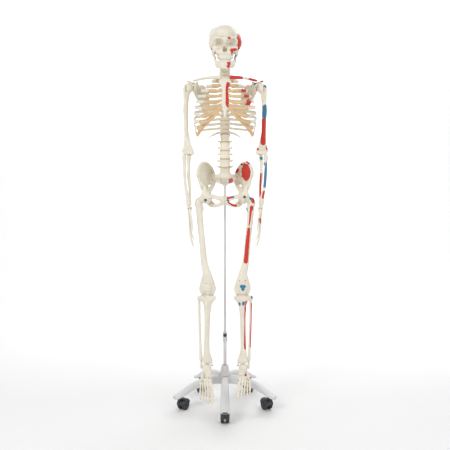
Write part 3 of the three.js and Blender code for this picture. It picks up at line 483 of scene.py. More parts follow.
# ---------------------------------------------------------------- leg bones (left)
def femur_form():
    """Thigh bone: a ball, a neck to a rough corner, a bowed shaft and two rollers at the knee."""
    form = Form(1.8)
    form.egg(HIP, (23, 23, 23))
    form.rod([HIP + (6, 1, -4), HIP + (20, 3, -15), HIP + (32, 4, -27)], [14, 12.5, 16], blend=7)
    form.egg(HIP + (32, 6, -17), (11, 15, 18), blend=8)
    form.egg(HIP + (14, 15, -52), (7, 8, 11), blend=8)
    form.rod([HIP + (30, 12, -14), HIP + (22, 17, -34), HIP + (14, 16, -52)], [5, 5, 5], blend=6)
    form.rod([HIP + (27, 5, -34), HIP + (24, 2, -90), HIP + (14, -10, -190), HIP + (4, -20, -290),
              KNEE + (2, -6, 74), KNEE + (1, -6, 44), KNEE + (0, -5, 22)],
             [(16, 14.5), (14.5, 13), (14, 12.5), (15.5, 13), (21, 14), (30, 16), (36, 17)], blend=9)
    form.rod([HIP + (20, 13, -80), HIP + (13, 3, -170), HIP + (5, -7, -270), KNEE + (3, 7, 90)],
             [3, 4, 4, 2.5], blend=6)
    for side in (-1, 1):
        form.egg(KNEE + (side * 23, 2, 0), (13.5, 21.5, 21.5), blend=7)
        form.egg(KNEE + (side * 33, 4, 8), (6, 9, 9), blend=6)
    form.egg(KNEE + (0, -11, 9), (25, 12, 16), blend=6)
    form.egg(KNEE + (0, -3, -7), (15, 13, 13), blend=6)
    form.rod([KNEE + (0, 17, -26), KNEE + (0, 20, -8), KNEE + (0, 32, 8)], [8, 8.5, 9], blend=4, carve=True)
    form.rod([KNEE + (0, -29, -6), KNEE + (1, -29, 24)], [7, 6], blend=4, carve=True)
    form.egg(HIP + (-22, 3, -3), (3.5, 4, 4), blend=2, carve=True)
    return form


def patella_form():
    """Knee cap: a flat egg with a pointed lower end, dished behind."""
    centre = np.array([KNEE[0] + 1, KNEE[1] - 31, KNEE[2] + 18])
    form = Form(1.3)
    form.egg(centre + (0, 0, 2), (18, 7.5, 16), blend=4)
    form.egg(centre + (0, 1, -11), (9, 5.5, 10), blend=8)
    form.egg(centre + (0, 12, 2), (15, 6, 14), blend=2, carve=True)
    return form


def tibia_form():
    """Shin bone: two plates under the knee, a three-cornered shaft, and a cup over the ankle."""
    form = Form(1.8)
    for side in (-1, 1):
        form.egg(KNEE + (side * 19, 1, -35), (20, 22, 14), blend=8)
    form.rod([KNEE + (0, 2, -42), KNEE + (0, 2, -62), KNEE + (1, 1, -90)], [(30, 21), (21, 18), (14.5, 15)],
             blend=10)
    form.rod([KNEE + (1, 1, -85), KNEE + (2, -1, -150), KNEE + (4, 1, -230), ANKLE + (0, 0, 78),
              ANKLE + (-2, 0, 44), ANKLE + (-2, 0, 28)], [(15, 15), (12.8, 13.5), (12.2, 12), (13.5, 12),
                                                          (19, 14), (25, 17)], blend=8)
    form.rod([KNEE + (4, -17, -62), KNEE + (4, -13, -110), KNEE + (4, -12, -190), KNEE + (3, -7, -270)],
             [5, 3.5, 3, 2.5], blend=6)
    form.egg(KNEE + (4, -16, -58), (8, 8, 15), blend=7)
    form.rod([KNEE + (-4, 0, -26), KNEE + (4, 2, -26)], [4, 4], blend=4)
    form.egg(ANKLE + (-21, -1, 8), (5.5, 12, 16), blend=6)
    form.rod([KNEE + (-80, 0, 0), KNEE + (80, 0, 0)], [23.2, 23.2], blend=1.5, pieces=1, carve=True)
    form.rod([ANKLE + (-15.5, 0, 0), ANKLE + (60, 0, 0)], [16.2, 16.2], blend=2, pieces=1, carve=True)
    return form


def fibula_form():
    """Calf bone: a head, a slim shaft and a long outer ankle knob."""
    form = Form(1.3)
    form.egg(KNEE + (40, 20, -41), (8.5, 9.5, 11), blend=5)
    form.rod([KNEE + (40, 20, -44), KNEE + (39, 18, -80), KNEE + (37, 14, -190), ANKLE + (29, 9, 80),
              ANKLE + (27, 7, 30)], [(7.5, 7.5), (6, 6), (5.8, 6.2), (6.2, 6.6), (7.5, 8.5)], blend=5)
    form.egg(ANKLE + (25.5, 5, 3), (6, 9.5, 18), blend=6)
    return form


def phalanx(form, start, end, thick, blend=0.8):
    """A finger or toe bone: wide at its base, waisted, with a small head."""
    start, end = np.asarray(start, float), np.asarray(end, float)
    middle = start + (end - start) * 0.55
    form.rod([start, start + (end - start) * 0.2, middle, end],
             [thick, thick * 0.86, thick * 0.62, thick * 0.84], blend=blend, pieces=2)


def foot_form():
    """A left foot about its ankle with a level sole. x: + outwards, y: - forwards, z: up."""
    form = Form(1.4)
    form.egg((0, 0, -3), (20, 15.5, 14), blend=3)
    form.egg((0, -2, -12), (21, 20, 12), blend=5)
    form.rod([(-3, -16, -13), (-6, -30, -17), (-8, -40, -19)], [(13, 10), (14, 10), (15, 11)], blend=5)
    form.rod([(2, -6, -30), (3, 10, -34), (3, 24, -42), (2, 37, -50)],
             [(12, 10), (13, 13), (13, 17), (15, 21)], blend=1.2)
    form.egg((-12, -4, -27), (9, 11, 6), blend=5)
    form.rod([(8, -14, -32), (15, -28, -38)], [(13, 11), (13, 12)], blend=5, pieces=1)
    form.egg((17, -42, -43), (12, 14, 11), blend=1)
    form.egg((-9, -51, -24), (15, 8, 13), blend=1)
    form.egg((-16, -67, -34), (9, 12, 13), blend=1)
    form.egg((-4, -66, -29), (7.5, 11, 11), blend=1)
    form.egg((6, -64, -33), (8, 11, 11), blend=1)
    rays = [
        ((-18, -80, -40), (-23, -106, -52), (-25, -130, -62), 9.5, 6.5, 9.5),
        ((-4.5, -78, -36), (-8, -106, -50), (-11, -132, -62), 7.2, 4.2, 6.2),
        ((6, -76, -40), (4, -104, -52), (2, -128, -63), 6.8, 4, 5.8),
        ((15, -64, -46), (15, -94, -56), (14, -122, -64), 6.6, 3.9, 5.6),
        ((24, -58, -52), (26, -84, -60), (26, -112, -65), 7, 4.2, 5.8),
    ]
    for base, middle, head, thick, waist, knob in rays:
        form.rod([base, middle, head], [thick, waist, knob], blend=0.8)
    form.egg((30, -53, -54), (5, 8, 5), blend=3)
    toes = [((-26, -139, -63), (-27, -158, -66), 8), ((-12, -138, -64), (-13, -158, -66), 5.2),
            ((1, -134, -65), (0, -153, -67), 5), ((14, -128, -66), (14, -145, -68), 4.8),
            ((26, -118, -67), (26, -132, -69), 4.8)]
    tips = [176, 175, 169, 159, 144]
    for (start, end, thick), tip in zip(toes, tips):
        phalanx(form, start, end, thick)
        along = end[1]
        if thick < 7:
            half = (along - 3 + -tip) / 2
            phalanx(form, (end[0], along - 3, end[2]), (end[0], half, end[2] - 1), thick * 0.9)
            phalanx(form, (end[0], half - 2.5, end[2] - 1), (end[0], -tip, end[2] - 2), thick * 0.85)
        else:
            form.rod([(end[0], along - 4, end[2]), (end[0], -tip + 6, end[2] - 1),
                      (end[0], -tip, end[2] - 2)], [thick * 0.95, thick * 0.6, (6.5, 4)], blend=0.8)
    for side in (-6, 5):
        form.egg((-25 + side, -124, -71), (4, 5, 4), blend=1)
    return form


def pitched(skin, side):
    """The foot's skin turned toes-down about the ankle and put in its place."""
    points, faces, depth = skin
    angle = math.radians(FOOT_PITCH[side])
    turned = np.stack([points[:, 0], points[:, 1] * math.cos(angle) - points[:, 2] * math.sin(angle),
                       points[:, 1] * math.sin(angle) + points[:, 2] * math.cos(angle)], 1)
    placed = (turned + ANKLE, faces, depth)
    return placed if side == "left" else mirrored(placed)


# ---------------------------------------------------------------- pelvis
def hip_bone_form():
    """Hip bone: a bowed wing with a thick crest, a cup for the thigh, and two bars round an opening."""
    form = Form(1.8)
    fan = np.array([0.53, -0.85, 0.0])
    wing = [(-36, -30), (-46, 0), (-52, 34), (-60, 62), (-56, 88), (-36, 116), (-6, 133), (26, 130),
            (52, 112), (66, 84), (62, 66), (50, 56), (44, 34), (30, 6), (22, -20)]
    form.plate(wing, (86, 12, 1026), fan, (0.06, 0.02, 1), 6.5, bow=-9, blend=5, edge=1)
    form.rod([(50, 62, 1082), (52, 68, 1104), (64, 54, 1132), (80, 28, 1151), (97, -6, 1156),
              (112, -36, 1143), (119, -56, 1118), (120, -62, 1106)], [6, 6.5, 6, 5.5, 6.5, 6, 5.5, 6.5],
             blend=5)
    form.rod([(120, -61, 1104), (114, -54, 1086), (108, -50, 1062)], [6, 4, 4], blend=6)
    form.egg((108, -52, 1054), (6, 7, 9), blend=6)
    form.rod([(50, 60, 1084), (52, 52, 1060), (62, 34, 1040), (76, 8, 1026)],
             [(7, 7), (8, 8), (10, 11), (14, 14)], blend=8)
    form.egg(HIP + (-5, 2, 2), (29, 31, 31), blend=6)
    form.rod([HIP + (6, -16, 12), (92, -44, 1040), (104, -50, 1060)], [(12, 10), (10, 9), (7, 7)], blend=7)
    form.rod([HIP + (-16, -16, 4), (52, -68, 1005), (28, -79, 999), (10, -81, 994)],
             [(12, 11), (7.5, 9), (7.5, 10), (8, 12)], wide=(0, 1, 0), blend=7)
    form.rod([(8, -80, 1000), (8, -80, 980)], [(7, 9), (7, 9)], blend=5, pieces=1)
    form.rod([HIP + (-12, 20, 4), HIP + (-16, 26, -10), (70, -4, 974), (60, -14, 966)],
             [(13, 14), (12, 13), (13, 14), (14, 13)], wide=(0, 1, 0), blend=7)
    form.rod([(60, -14, 966), (46, -36, 962), (30, -60, 966), (12, -76, 976)],
             [(11, 12), (6, 9), (6, 8), (7, 9)], wide=(0, 1, 0), blend=6)
    form.rod([(70, 12, 1010), (60, 16, 1004)], [5, 3.5], blend=5, pieces=1)
    form.egg((50, -44, 984), (14, 13, 13), blend=4, carve=True)
    form.egg(HIP, (26, 26, 26), blend=1.5, carve=True)
    form.rod([HIP + (4, 0, 0), HIP + (60, -4, -8)], [26, 30], blend=1.5, pieces=1, carve=True)
    form.egg((70, 46, 1040), (10, 14, 15), blend=4, carve=True)
    form.egg((58, 54, 1080), (11, 22, 22), turn=(0, 0, math.atan2(0.53, 0.85)), blend=14)
    return form


SACRUM = [((0, -12, 1093), 28, 12), ((0, 4, 1091), 48, 17), ((0, 24, 1083), 58, 18), ((0, 46, 1072), 50, 15),
          ((0, 64, 1061), 27, 10), ((0, 77, 1052), 11, 6), ((0, 81, 1043), 5.5, 4)]


def sacrum_form():
    """Fused wedge, wide at the top, running back and down, with four pairs of holes through it."""
    form = Form(1.6)
    line = np.array([spot for spot, _, _ in SACRUM], float)
    form.rod(line, [(wide, thick) for _, wide, thick in SACRUM], blend=3)
    form.rod([(0, -2, 1101), (0, 6, 1088)], [(26, 17), (28, 16)], blend=4, pieces=1)
    form.rod([(0, 36, 1093), (0, 55, 1081), (0, 70, 1067)], [(6, 5), (6, 5), (5, 4)], blend=4)
    way = np.array([0, 0.86, -0.5])
    out = np.array([0, -0.5, -0.86])
    for share, x in ((0.1, 19), (0.34, 18), (0.58, 15), (0.8, 10)):
        middle = np.array([0, -4.0, 1093]) + way * share * 92
        middle[2] = np.interp(middle[1], line[:, 1], line[:, 2])
        for side in (-1, 1):
            hole = middle + (side * x, 0, 0)
            form.rod([hole + out * 24, hole + out * 7], [4.6, 3.4], blend=2.5, pieces=1, carve=True)
            form.rod([hole - out * 24, hole - out * 9], [4, 3.2], blend=2.5, pieces=1, carve=True)
        ridge = middle + out * 15.5 + way * 9
        form.rod([ridge - (13, 0, 0), ridge + (13, 0, 0)], [1.3, 1.3], blend=2, pieces=1, carve=True)
    form.rod([(0, 20, 1112), (0, 40, 1094), (0, 60, 1076)], [(10, 6), (9, 5), (6, 4)], blend=2.5, carve=True)
    return form


# ---------------------------------------------------------------- spine
SPINE = smooth_path([(0, 30, 1060), (0, 2, 1102), (0, -15, 1134), (0, -23, 1171), (0, -23, 1210),
                     (0, -14, 1245), (0, 0, 1278), (0, 26, 1340), (0, 41, 1400), (0, 42, 1450),
                     (0, 32, 1495), (0, 18, 1531), (0, 3, 1560), (0, -10, 1595), (0, -12, 1640)], 12)


def spine_at(height):
    """Where the spine's middle line is at a height, and the direction it runs there."""
    y = np.interp(height, SPINE[:, 2], SPINE[:, 1])
    lean = np.interp(height + 4, SPINE[:, 2], SPINE[:, 1]) - np.interp(height - 4, SPINE[:, 2], SPINE[:, 1])
    along = np.array([0, lean, 8.0])
    return np.array([0, y, height]), along / np.linalg.norm(along)


def vertebra(form, height, tall, wide, deep, spine, drop, reach, sweep, kind):
    """One vertebra: a waisted body, its arch round the canal, a spine behind and a process to each side."""
    middle, along = spine_at(height)
    back = np.array([0, along[2], -along[1]])

    def spot(x, behind, up):
        return middle + (x, 0, 0) + back * behind + along * up

    half = tall / 2
    waist = 0.89 if kind == "loin" else 0.84
    form.rod([spot(0, 0, -half), spot(0, 0, -half * 0.72), spot(0, 0, 0), spot(0, 0, half * 0.72),
              spot(0, 0, half)], [(wide, deep), (wide * 0.98, deep * 0.98), (wide * waist, deep * waist),
                                  (wide * 0.98, deep * 0.98), (wide, deep)], blend=1.0, pieces=2)
    arch = deep + 9
    for side in (-1, 1):
        form.rod([spot(side * wide * 0.55, deep * 0.7, half * 0.3),
                  spot(side * wide * 0.62, arch, half * 0.1), spot(side * 2, arch + 9, -half * 0.1)],
                 [(3.6, 4.5), (3.6, 5), (3, 5)], wide=along, blend=3)
        if kind == "neck":
            form.rod([spot(side * wide * 0.8, 0, 0), spot(side * (reach - 3), 0, -1)], [(5, 3.6), (3.8, 3.2)],
                     wide=back, blend=2.5, pieces=1)
            form.egg(spot(side * (wide + 1), arch - 3, 0), (5.5, 6, half + 1.5), blend=2)
        else:
            form.rod([spot(side * wide * 0.6, arch, 0), spot(side * reach * 0.7, arch + sweep * 0.6, 2),
                      spot(side * (reach - 4), arch + sweep, 3)],
                     [(6, 4), (4, 3.2), (4.6, 3.6)] if kind == "loin" else [(5, 5), (4.2, 4.2), (5.4, 5)],
                     wide=along, blend=3)
            form.rod([spot(side * wide * 0.52, arch + 2, half + 3),
                      spot(side * wide * 0.5, arch + 4, -half - 3)], [(4.2, 5), (4.2, 5)], blend=3,
                     pieces=1)
    form.rod([spot(0, arch + 4, 0), spot(0, arch + 6 + spine * 0.5, -drop * 0.5),
              spot(0, arch + spine, -drop)], [(3.2, half * 0.75),
                                              (2.6, half * (0.8 if kind == "loin" else 0.55)),
                                              (3.4, half * (0.75 if kind == "loin" else 0.42))],
             wide=(1, 0, 0), blend=3)


def disc(height, thick, wide, deep):
    """A disc between two bodies: a flattened round cushion."""
    middle, along = spine_at(height)
    half = thick / 2
    profile = [(0.86, -half - 0.8), (1.0, -half * 0.7), (1.03, 0), (1.0, half * 0.7), (0.86, half + 0.8)]
    path = [middle + along * rise for _, rise in profile]
    return tube(path, [(wide * r, deep * r) for r, _ in profile], sides=32, steps=3)


# ---------------------------------------------------------------- rib cage
RIB_HALF_WIDTH = [58, 84, 104, 118, 127, 133, 137, 139, 138, 134, 126, 92]
RIB_END = [
    (34, -58, 1513), (52, -75, 1490), (66, -91, 1466), (78, -101, 1441), (88, -109, 1416), (94, -113, 1388),
    (97, -111, 1358), (108, -98, 1331), (118, -76, 1305), (125, -46, 1284), (121, 10, 1266), (88, 58, 1263),
]
CHEST_TOP = 1531.0
CHEST_BOTTOM = 1278.0
CHEST_MIDDLE = np.array([0, -20.0, 0])
RIB_COUNT = 12
RIB_PITCH = (CHEST_TOP - CHEST_BOTTOM) / RIB_COUNT


def rib_level(number):
    """The height of the middle of a chest vertebra, counted from the top."""
    return CHEST_TOP - RIB_PITCH * (number - 0.5)


def rib_path(number):
    """The left rib's middle line from its head on the spine, round the chest, to its front end."""
    middle = rib_level(number)
    y = spine_at(middle)[0][1]
    width = RIB_HALF_WIDTH[number - 1]
    end = np.array(RIB_END[number - 1], float)
    fall = middle - end[2]
    back = y + (26 if number == 1 else 37)
    start = [(11, y + 5, middle + 1), (27, y + 17, middle), (width * 0.42, back, middle - fall * 0.05)]
    if number == 12:
        return np.array([*start, tuple(end)])
    side = (back + end[1]) / 2
    body = [(width * 0.74, back - 11, middle - fall * 0.15),
            (width * 0.965, side + (back - side) * 0.42, middle - fall * 0.34),
            (width, side - (side - end[1]) * 0.12, middle - fall * 0.6)]
    if number == 11:
        return np.array([*start, *body[:2], tuple(end)])
    return np.array([*start, *body, (width * 0.55 + end[0] * 0.45, end[1] + (side - end[1]) * 0.27,
                                     middle - fall * 0.86), tuple(end)])


def rib_surface(number):
    """A rib: a flat oval section carried along its line, thick at the head and the tubercle, the lower edge
    thinner than the upper, its flat side turned to face out of the chest all the way round."""
    path = smooth_path(rib_path(number), 10)
    share = np.linspace(0, 1, len(path))
    along = np.gradient(path, axis=0)
    along /= np.linalg.norm(along, axis=1, keepdims=True)
    outward = path - CHEST_MIDDLE
    outward[:, 2] = 0
    outward /= np.linalg.norm(outward, axis=1, keepdims=True)
    outward[:, 2] += 0.55 * (5 - number) / 4 if number < 3 else 0.1
    up = np.cross(along, outward)
    up /= np.linalg.norm(up, axis=1, keepdims=True)
    up *= np.sign(up[:, 2:] + 1e-9)
    out = np.cross(up, along)
    tall = 6.3 if number > 1 else 6.6
    thin = 3.0
    ring_sides = 18
    head = np.exp(-((share / 0.03) ** 2))
    knob = np.exp(-(((share - (0.13 if number < 11 else 0.2)) / 0.028) ** 2))
    flare = np.clip((share - 0.85) / 0.15, 0, 1)
    tall_now = tall * (0.62 + 0.38 * np.clip(share / 0.2, 0, 1)) + 1.5 * head + 1.2 * knob + 0.7 * flare
    thin_now = thin + 1.4 * head + 2.0 * knob + 0.5 * flare
    if number > 10:
        taper = np.clip((1 - share) / 0.25, 0.35, 1)
        tall_now, thin_now = tall_now * taper * 0.85, thin_now * taper
    angle = np.linspace(0, 2 * np.pi, ring_sides, endpoint=False)
    across = rounded(np.sin(angle), 0.8)
    tip = np.cos(angle)
    groove = 1 - 0.3 * np.exp(-((angle - np.pi * 1.22) / 0.4) ** 2)
    rings = (path[:, None] + up[:, None] * (tall_now[:, None] * tip)[..., None]
             + out[:, None] * (thin_now[:, None] * across * groove * (0.8 + 0.2 * tip))[..., None])
    return grid_faces(rings, path[0], path[-1])


def sternum_line(share):
    """A place on the breastbone's middle line, a share of the way down it."""
    return np.array([0, -67 + (-116 + 67) * share**0.85, 1524 + (1351 - 1524) * share])


def sternum_form():
    """Breastbone: a wide top, a waist, a long body and a small tip, notched for each cartilage."""
    form = Form(1.5)
    spots = [(0.02, 24, 5), (0.1, 27.5, 6), (0.2, 22, 5.5), (0.27, 15.5, 5), (0.34, 14.5, 5), (0.5, 17, 5),
             (0.6, 18.5, 5), (0.72, 17, 5), (0.8, 13, 4.5), (0.84, 8, 3.5), (0.93, 5.5, 2.5), (1.0, 3.5, 2)]
    form.rod([sternum_line(t) for t, _, _ in spots], [(w, d) for _, w, d in spots], blend=2, pieces=3)
    form.egg((0, -66, 1528), (10, 9, 6), blend=3, carve=True)
    for side in (-1, 1):
        form.egg((side * 21, -69, 1527), (6, 7, 5), blend=2, carve=True)
    for t, width in ((0.2, 23), (0.35, 16), (0.47, 17), (0.58, 19), (0.68, 18), (0.76, 15)):
        for side in (-1, 1):
            form.egg(sternum_line(t) + (side * (width + 1.5), 0, 0), (3.2, 6, 4), blend=1.5, carve=True)
    form.rod([sternum_line(0.27) + (-18, -6, 0), sternum_line(0.27) + (18, -6, 0)], [1.4, 1.4], blend=1.5,
             pieces=1, carve=True)
    form.rod([sternum_line(0.81) + (-14, -5, 0), sternum_line(0.81) + (14, -5, 0)], [1, 1], blend=1.5,
             pieces=1, carve=True)
    return form


def cartilage_surfaces():
    """Each left costal cartilage: an oval bar from a rib's end to the breastbone or to the bar above."""
    joints = [0.06, 0.2, 0.35, 0.47, 0.58, 0.68, 0.76]
    made = []
    for number in range(1, 11):
        path = rib_path(number)
        end, way = path[-1], path[-1] - path[-2]
        way /= np.linalg.norm(way)
        start = end - way * 2.5
        bend = end + way * (6 if number < 3 else 14)
        if number <= 7:
            goal = sternum_line(joints[number - 1])
            width = [23, 22, 15, 16, 18, 17, 14][number - 1]
            goal = goal + (width - 1, 0, 0)
            dip = 7 if number > 4 else 0
            near = bend + (goal - bend) * (0.55, 0.6, 0.55) - (0, 0, dip)
            points = [start, bend, near, goal]
        else:
            inner, middle = {8: ((26, -112, 1374), (66, -110, 1342)), 9: ((58, -111, 1346), (88, -100, 1318)),
                             10: ((84, -100, 1322), (108, -76, 1296))}[number]
            points = [start, bend, middle, inner]
        upper_sizes = [(7.2, 4.2), (7.4, 4.6), (7, 4.6), (6.6, 4.4)]
        lower_sizes = [(8, 4.4), (9, 5), (8.6, 5), (6, 4.2)]
        sizes = upper_sizes if number <= 5 else lower_sizes
        made.append(tube(points, sizes, sides=18, wide=(0.1, 0.1, 1), steps=8))
    return made


# ---------------------------------------------------------------- shoulder and arm bones (left)
def clavicle_surface():
    """Collar bone: an oval bar along an S-shaped line, flat at its outer end."""
    points = [(22, -69, 1525), (36, -72, 1524), (60, -75, 1523), (92, -51, 1523), (116, -18, 1522),
              (134, -1, 1520), (142, 3, 1519)]
    sizes = [(10, 9.5), (8.5, 8.5), (6.8, 7), (6.4, 6.2), (7.5, 5.6), (9, 5), (7, 4)]
    return tube(points, sizes, sides=24, wide=(0, 1, 0), steps=8)


def scapula_form():
    """Shoulder blade: a thin bowed plate with thick edges, a ridge with its roof, a hook and a socket."""
    form = Form(1.5)
    inward = np.array([-0.814, 0.581, 0.0])
    blade = [(-2, -6), (10, 4), (16, 40), (12, 66), (10, 96), (-2, 128), (-14, 142), (-32, 144), (-50, 130),
             (-64, 134), (-68, 118), (-58, 100), (-48, 78), (-36, 50), (-22, 18), (-12, -4)]
    form.plate(blade, (86, 86, 1366), inward, (0, 0, 1), 3.6, bow=-7, blend=4)
    form.rod([(88, 92, 1364), (96, 80, 1384), (112, 66, 1420), (128, 52, 1452)], [5, 4, 4.5, 5.5], blend=4)
    form.rod([(88, 92, 1364), (76, 96, 1410), (74, 94, 1440), (80, 88, 1500)], [4.5, 3.2, 3, 3], blend=4)
    form.rod([(128, 52, 1452), (136, 38, 1474), (139, 24, 1484)], [(7, 7), (9, 10), (9, 13)], blend=6)
    form.egg(SHOULDER + (-25, 9, -2), (9, 13, 19), turn=(0, 0, -0.4), blend=4)
    form.rod([(78, 88, 1474), (96, 86, 1484), (118, 74, 1498), (140, 62, 1509), (158, 50, 1517),
              (168, 36, 1520), (168, 22, 1519)], [(3, 4), (3.4, 8), (3.6, 10), (4, 9), (9, 5), (12, 4.4),
                                                  (9, 4)], wide=(0.7, 0.7, 0.1), blend=4)
    form.rod([SHOULDER + (-29, 12, 6), SHOULDER + (-38, -6, 20), SHOULDER + (-36, -20, 18),
              SHOULDER + (-26, -30, 7)], [(8, 7), (6.5, 6), (6, 5), (5.5, 5)], blend=5)
    form.rod([(128, 50, 1496), (136, 40, 1500), (140, 30, 1502)], [4, 4, 4], blend=4)
    form.egg(SHOULDER, (24.5, 24.5, 24.5), blend=2, carve=True)
    return form


def humerus_form():
    """Upper arm bone: a ball with two knobs, a shaft, and a pulley and a knob at the elbow."""
    form = Form(1.6)
    form.egg(SHOULDER, (22, 22, 22))
    form.egg(SHOULDER + (13, -1, -4), (11, 15, 17), blend=7)
    form.egg(SHOULDER + (4, -16, -9), (7, 6, 9), blend=5)
    form.rod([SHOULDER + (8, 0, -14), SHOULDER + (11, 0, -34), SHOULDER + (13, 1, -66), (176, 11, 1380),
              (175, 8, 1300), ELBOW + (4, 4, 80), ELBOW + (1, 5, 48), ELBOW + (0, 5, 26),
              ELBOW + (0, 5, 12)], [(17, 16), (14, 13.5), (11.5, 11.5), (10.5, 11), (10, 10), (11, 8.5),
                                    (15, 7.5), (20, 6.5), (22, 6)], blend=7)
    form.rod([(181, 8, 1420), (183, 8, 1385), (180, 6, 1350)], [3, 5, 3], blend=7)
    form.rod([SHOULDER + (9, -16, 6), SHOULDER + (10, -15, -20), SHOULDER + (11, -11, -50)], [3, 3, 2],
             blend=4, carve=True)
    pulley = [(-20, 11.5), (-17, 11), (-10, 8.8), (-3, 10.6), (-1, 9.6)]
    form.rod([ELBOW + (x, 0, 0) for x, _ in pulley], [r for _, r in pulley], blend=3, pieces=2)
    form.egg(ELBOW + (11, 0, 0), (10.5, 11, 11), blend=3)
    form.egg(ELBOW + (-20, 5, 11), (6, 7, 10), blend=6)
    form.egg(ELBOW + (17, 5, 10), (5.5, 7, 9), blend=6)
    form.egg(ELBOW + (-8, 18, 20), (11, 9, 12), blend=4, carve=True)
    form.egg(ELBOW + (-10, -9, 18), (8, 6, 8), blend=4, carve=True)
    form.egg(ELBOW + (14, -8, 19), (6, 5, 6), blend=4, carve=True)
    return form


def ulna_form():
    """Inner forearm bone: a hooked top round the elbow pulley, a tapering shaft and a small head."""
    form = Form(1.3)
    form.rod([ELBOW + (-7, 17, 13), ELBOW + (-7, 18, 0), ELBOW + (-7, 9, -18), ELBOW + (-6, 0, -38)],
             [(9, 6), (10, 8), (10, 12), (8, 8.5)], blend=4)
    form.egg(ELBOW + (-7, -5, -19), (10, 8, 7), blend=5)
    form.rod([ELBOW + (-5, -1, -32), ELBOW + (-6, -3, -80), (160, -8, 1050), (160, -12, 1000),
              (161, -12, 984)], [(7.5, 8.5), (6.2, 7), (5.4, 6), (5, 5.4), (6, 6)], blend=5)
    form.rod([ELBOW + (-3, 6, -50), ELBOW + (0, 4, -110), (163, -6, 1040)], [2.5, 2.5, 2], blend=4)
    form.egg((161, -12, 976), (8, 8, 7), blend=4)
    form.egg((160, -5, 970), (3, 3, 6), blend=3)
    form.rod([ELBOW + (-60, 0, 0), ELBOW + (60, 0, 0)], [12.2, 12.2], blend=1.5, pieces=1, carve=True)
    return form


def radius_form():
    """Outer forearm bone: a dished disc of a head, a bowed shaft and a broad lower end."""
    form = Form(1.3)
    form.rod([RADIUS_HEAD + (0, 0, -8), RADIUS_HEAD + (0, 0, 7)], [9.8, 10], blend=2, pieces=1)
    form.rod([RADIUS_HEAD + (0, 0, -8), RADIUS_HEAD + (0, -1, -28), (183, -12, 1100), (178, -25, 1045),
              (167, -35, 1000), (164, -36, 982), (163, -35, 972)],
             [6.6, 7, (6.5, 7.5), (6.5, 7.5), (9, 11), (12, 15.5), (12.5, 16)], blend=5)
    form.egg(RADIUS_HEAD + (-5, -1, -30), (5, 5, 8), blend=4)
    form.egg((166, -49, 967), (5, 5, 9), blend=4)
    form.egg(RADIUS_HEAD + (0, 0, 15), (8, 8, 7), blend=1.5, carve=True)
    form.rod([ELBOW + (-60, 0, 0), ELBOW + (60, 0, 0)], [12.2, 12.2], blend=1.5, pieces=1, carve=True)
    form.egg((161, -12, 975), (9.5, 9.5, 11), blend=1.5, carve=True)
    form.egg((163, -32, 961), (10, 15, 7), blend=2, carve=True)
    return form


def hand_form():
    """A left hand hanging beside the thigh: palm towards the body, thumb in front."""
    form = Form(1.2)
    at = WRIST
    carpals = [((0, -16, -4), (8.5, 8, 9)), ((0, -4, -2), (8, 7.5, 8)), ((0, 7, -5), (7.5, 7, 8)),
               ((-9, 8, -8), (5, 5, 6)), ((-4, -26, -15), (7.5, 7, 8)), ((0, -17, -17), (7, 6, 7.5)),
               ((0, -6, -15), (7.5, 7, 10)), ((0, 5, -17), (7.5, 7, 8.5)), ((-9, 3, -18), (4, 3.5, 5))]
    for spot, sizes in carpals:
        form.egg(at + spot, sizes, blend=0.8)
    lengths = [0.92, 1, 0.96, 0.82]
    bases = [-19, -8, 2, 10]
    for i, share in enumerate(lengths):
        side = 13 - 14.5 * (3 - i)
        spread = -2.6 * (3 - i)
        reach = 176 * share
        knuckle = np.array([-4, side + spread * 0.8, -6 - reach * 0.47])
        form.rod([at + (-1, bases[i], -28), at + (-1.5, bases[i] * 0.6 + side * 0.4, -42),
                  at + (-2.5, (bases[i] + side) / 2 + spread * 0.5, -62), at + knuckle],
                 [(6, 5.6), (4.2, 3.9), (3.8, 3.5), (5.6, 5.6)], blend=0.8, pieces=3)
        spots = [knuckle + (0, 0, -7), np.array([-7, side + spread, -6 - reach * 0.73]),
                 np.array([-13, side + spread * 1.2, -6 - reach * 0.89]),
                 np.array([-20, side + spread * 1.3, -6 - reach])]
        thick = [5.4, 4.7, 4.0]
        for j in range(3):
            way = spots[j + 1] - spots[j]
            way /= np.linalg.norm(way)
            end = spots[j + 1] - way * (3.2 if j < 2 else 0)
            if j < 2:
                phalanx(form, at + spots[j] + way * 3, at + end, thick[j])
            else:
                form.rod([at + spots[j] + way * 2.5, at + spots[j] + way * 9, at + end - way * 4, at + end],
                         [thick[j], 2.6, 2.4, (3.4, 2.4)], blend=0.8, pieces=2)
    form.rod([at + (-7, -30, -24), at + (-10, -37, -40), at + (-13, -41, -56)],
             [(6.5, 6), (4.4, 4.2), (5.8, 5.8)], blend=0.8)
    phalanx(form, at + (-14, -43, -63), at + (-16.5, -46.5, -83), 5.4)
    form.rod([at + (-17, -47, -89), at + (-18, -48, -96), at + (-19, -49, -104)], [4.8, 2.8, 3.2], blend=0.8)
    return form


# ---------------------------------------------------------------- head
def head_spot(x, forward, up):
    """A place in the head from the jaw hinge: across, forwards and up."""
    return np.array([x, JAW[1] - forward, JAW[2] + up])


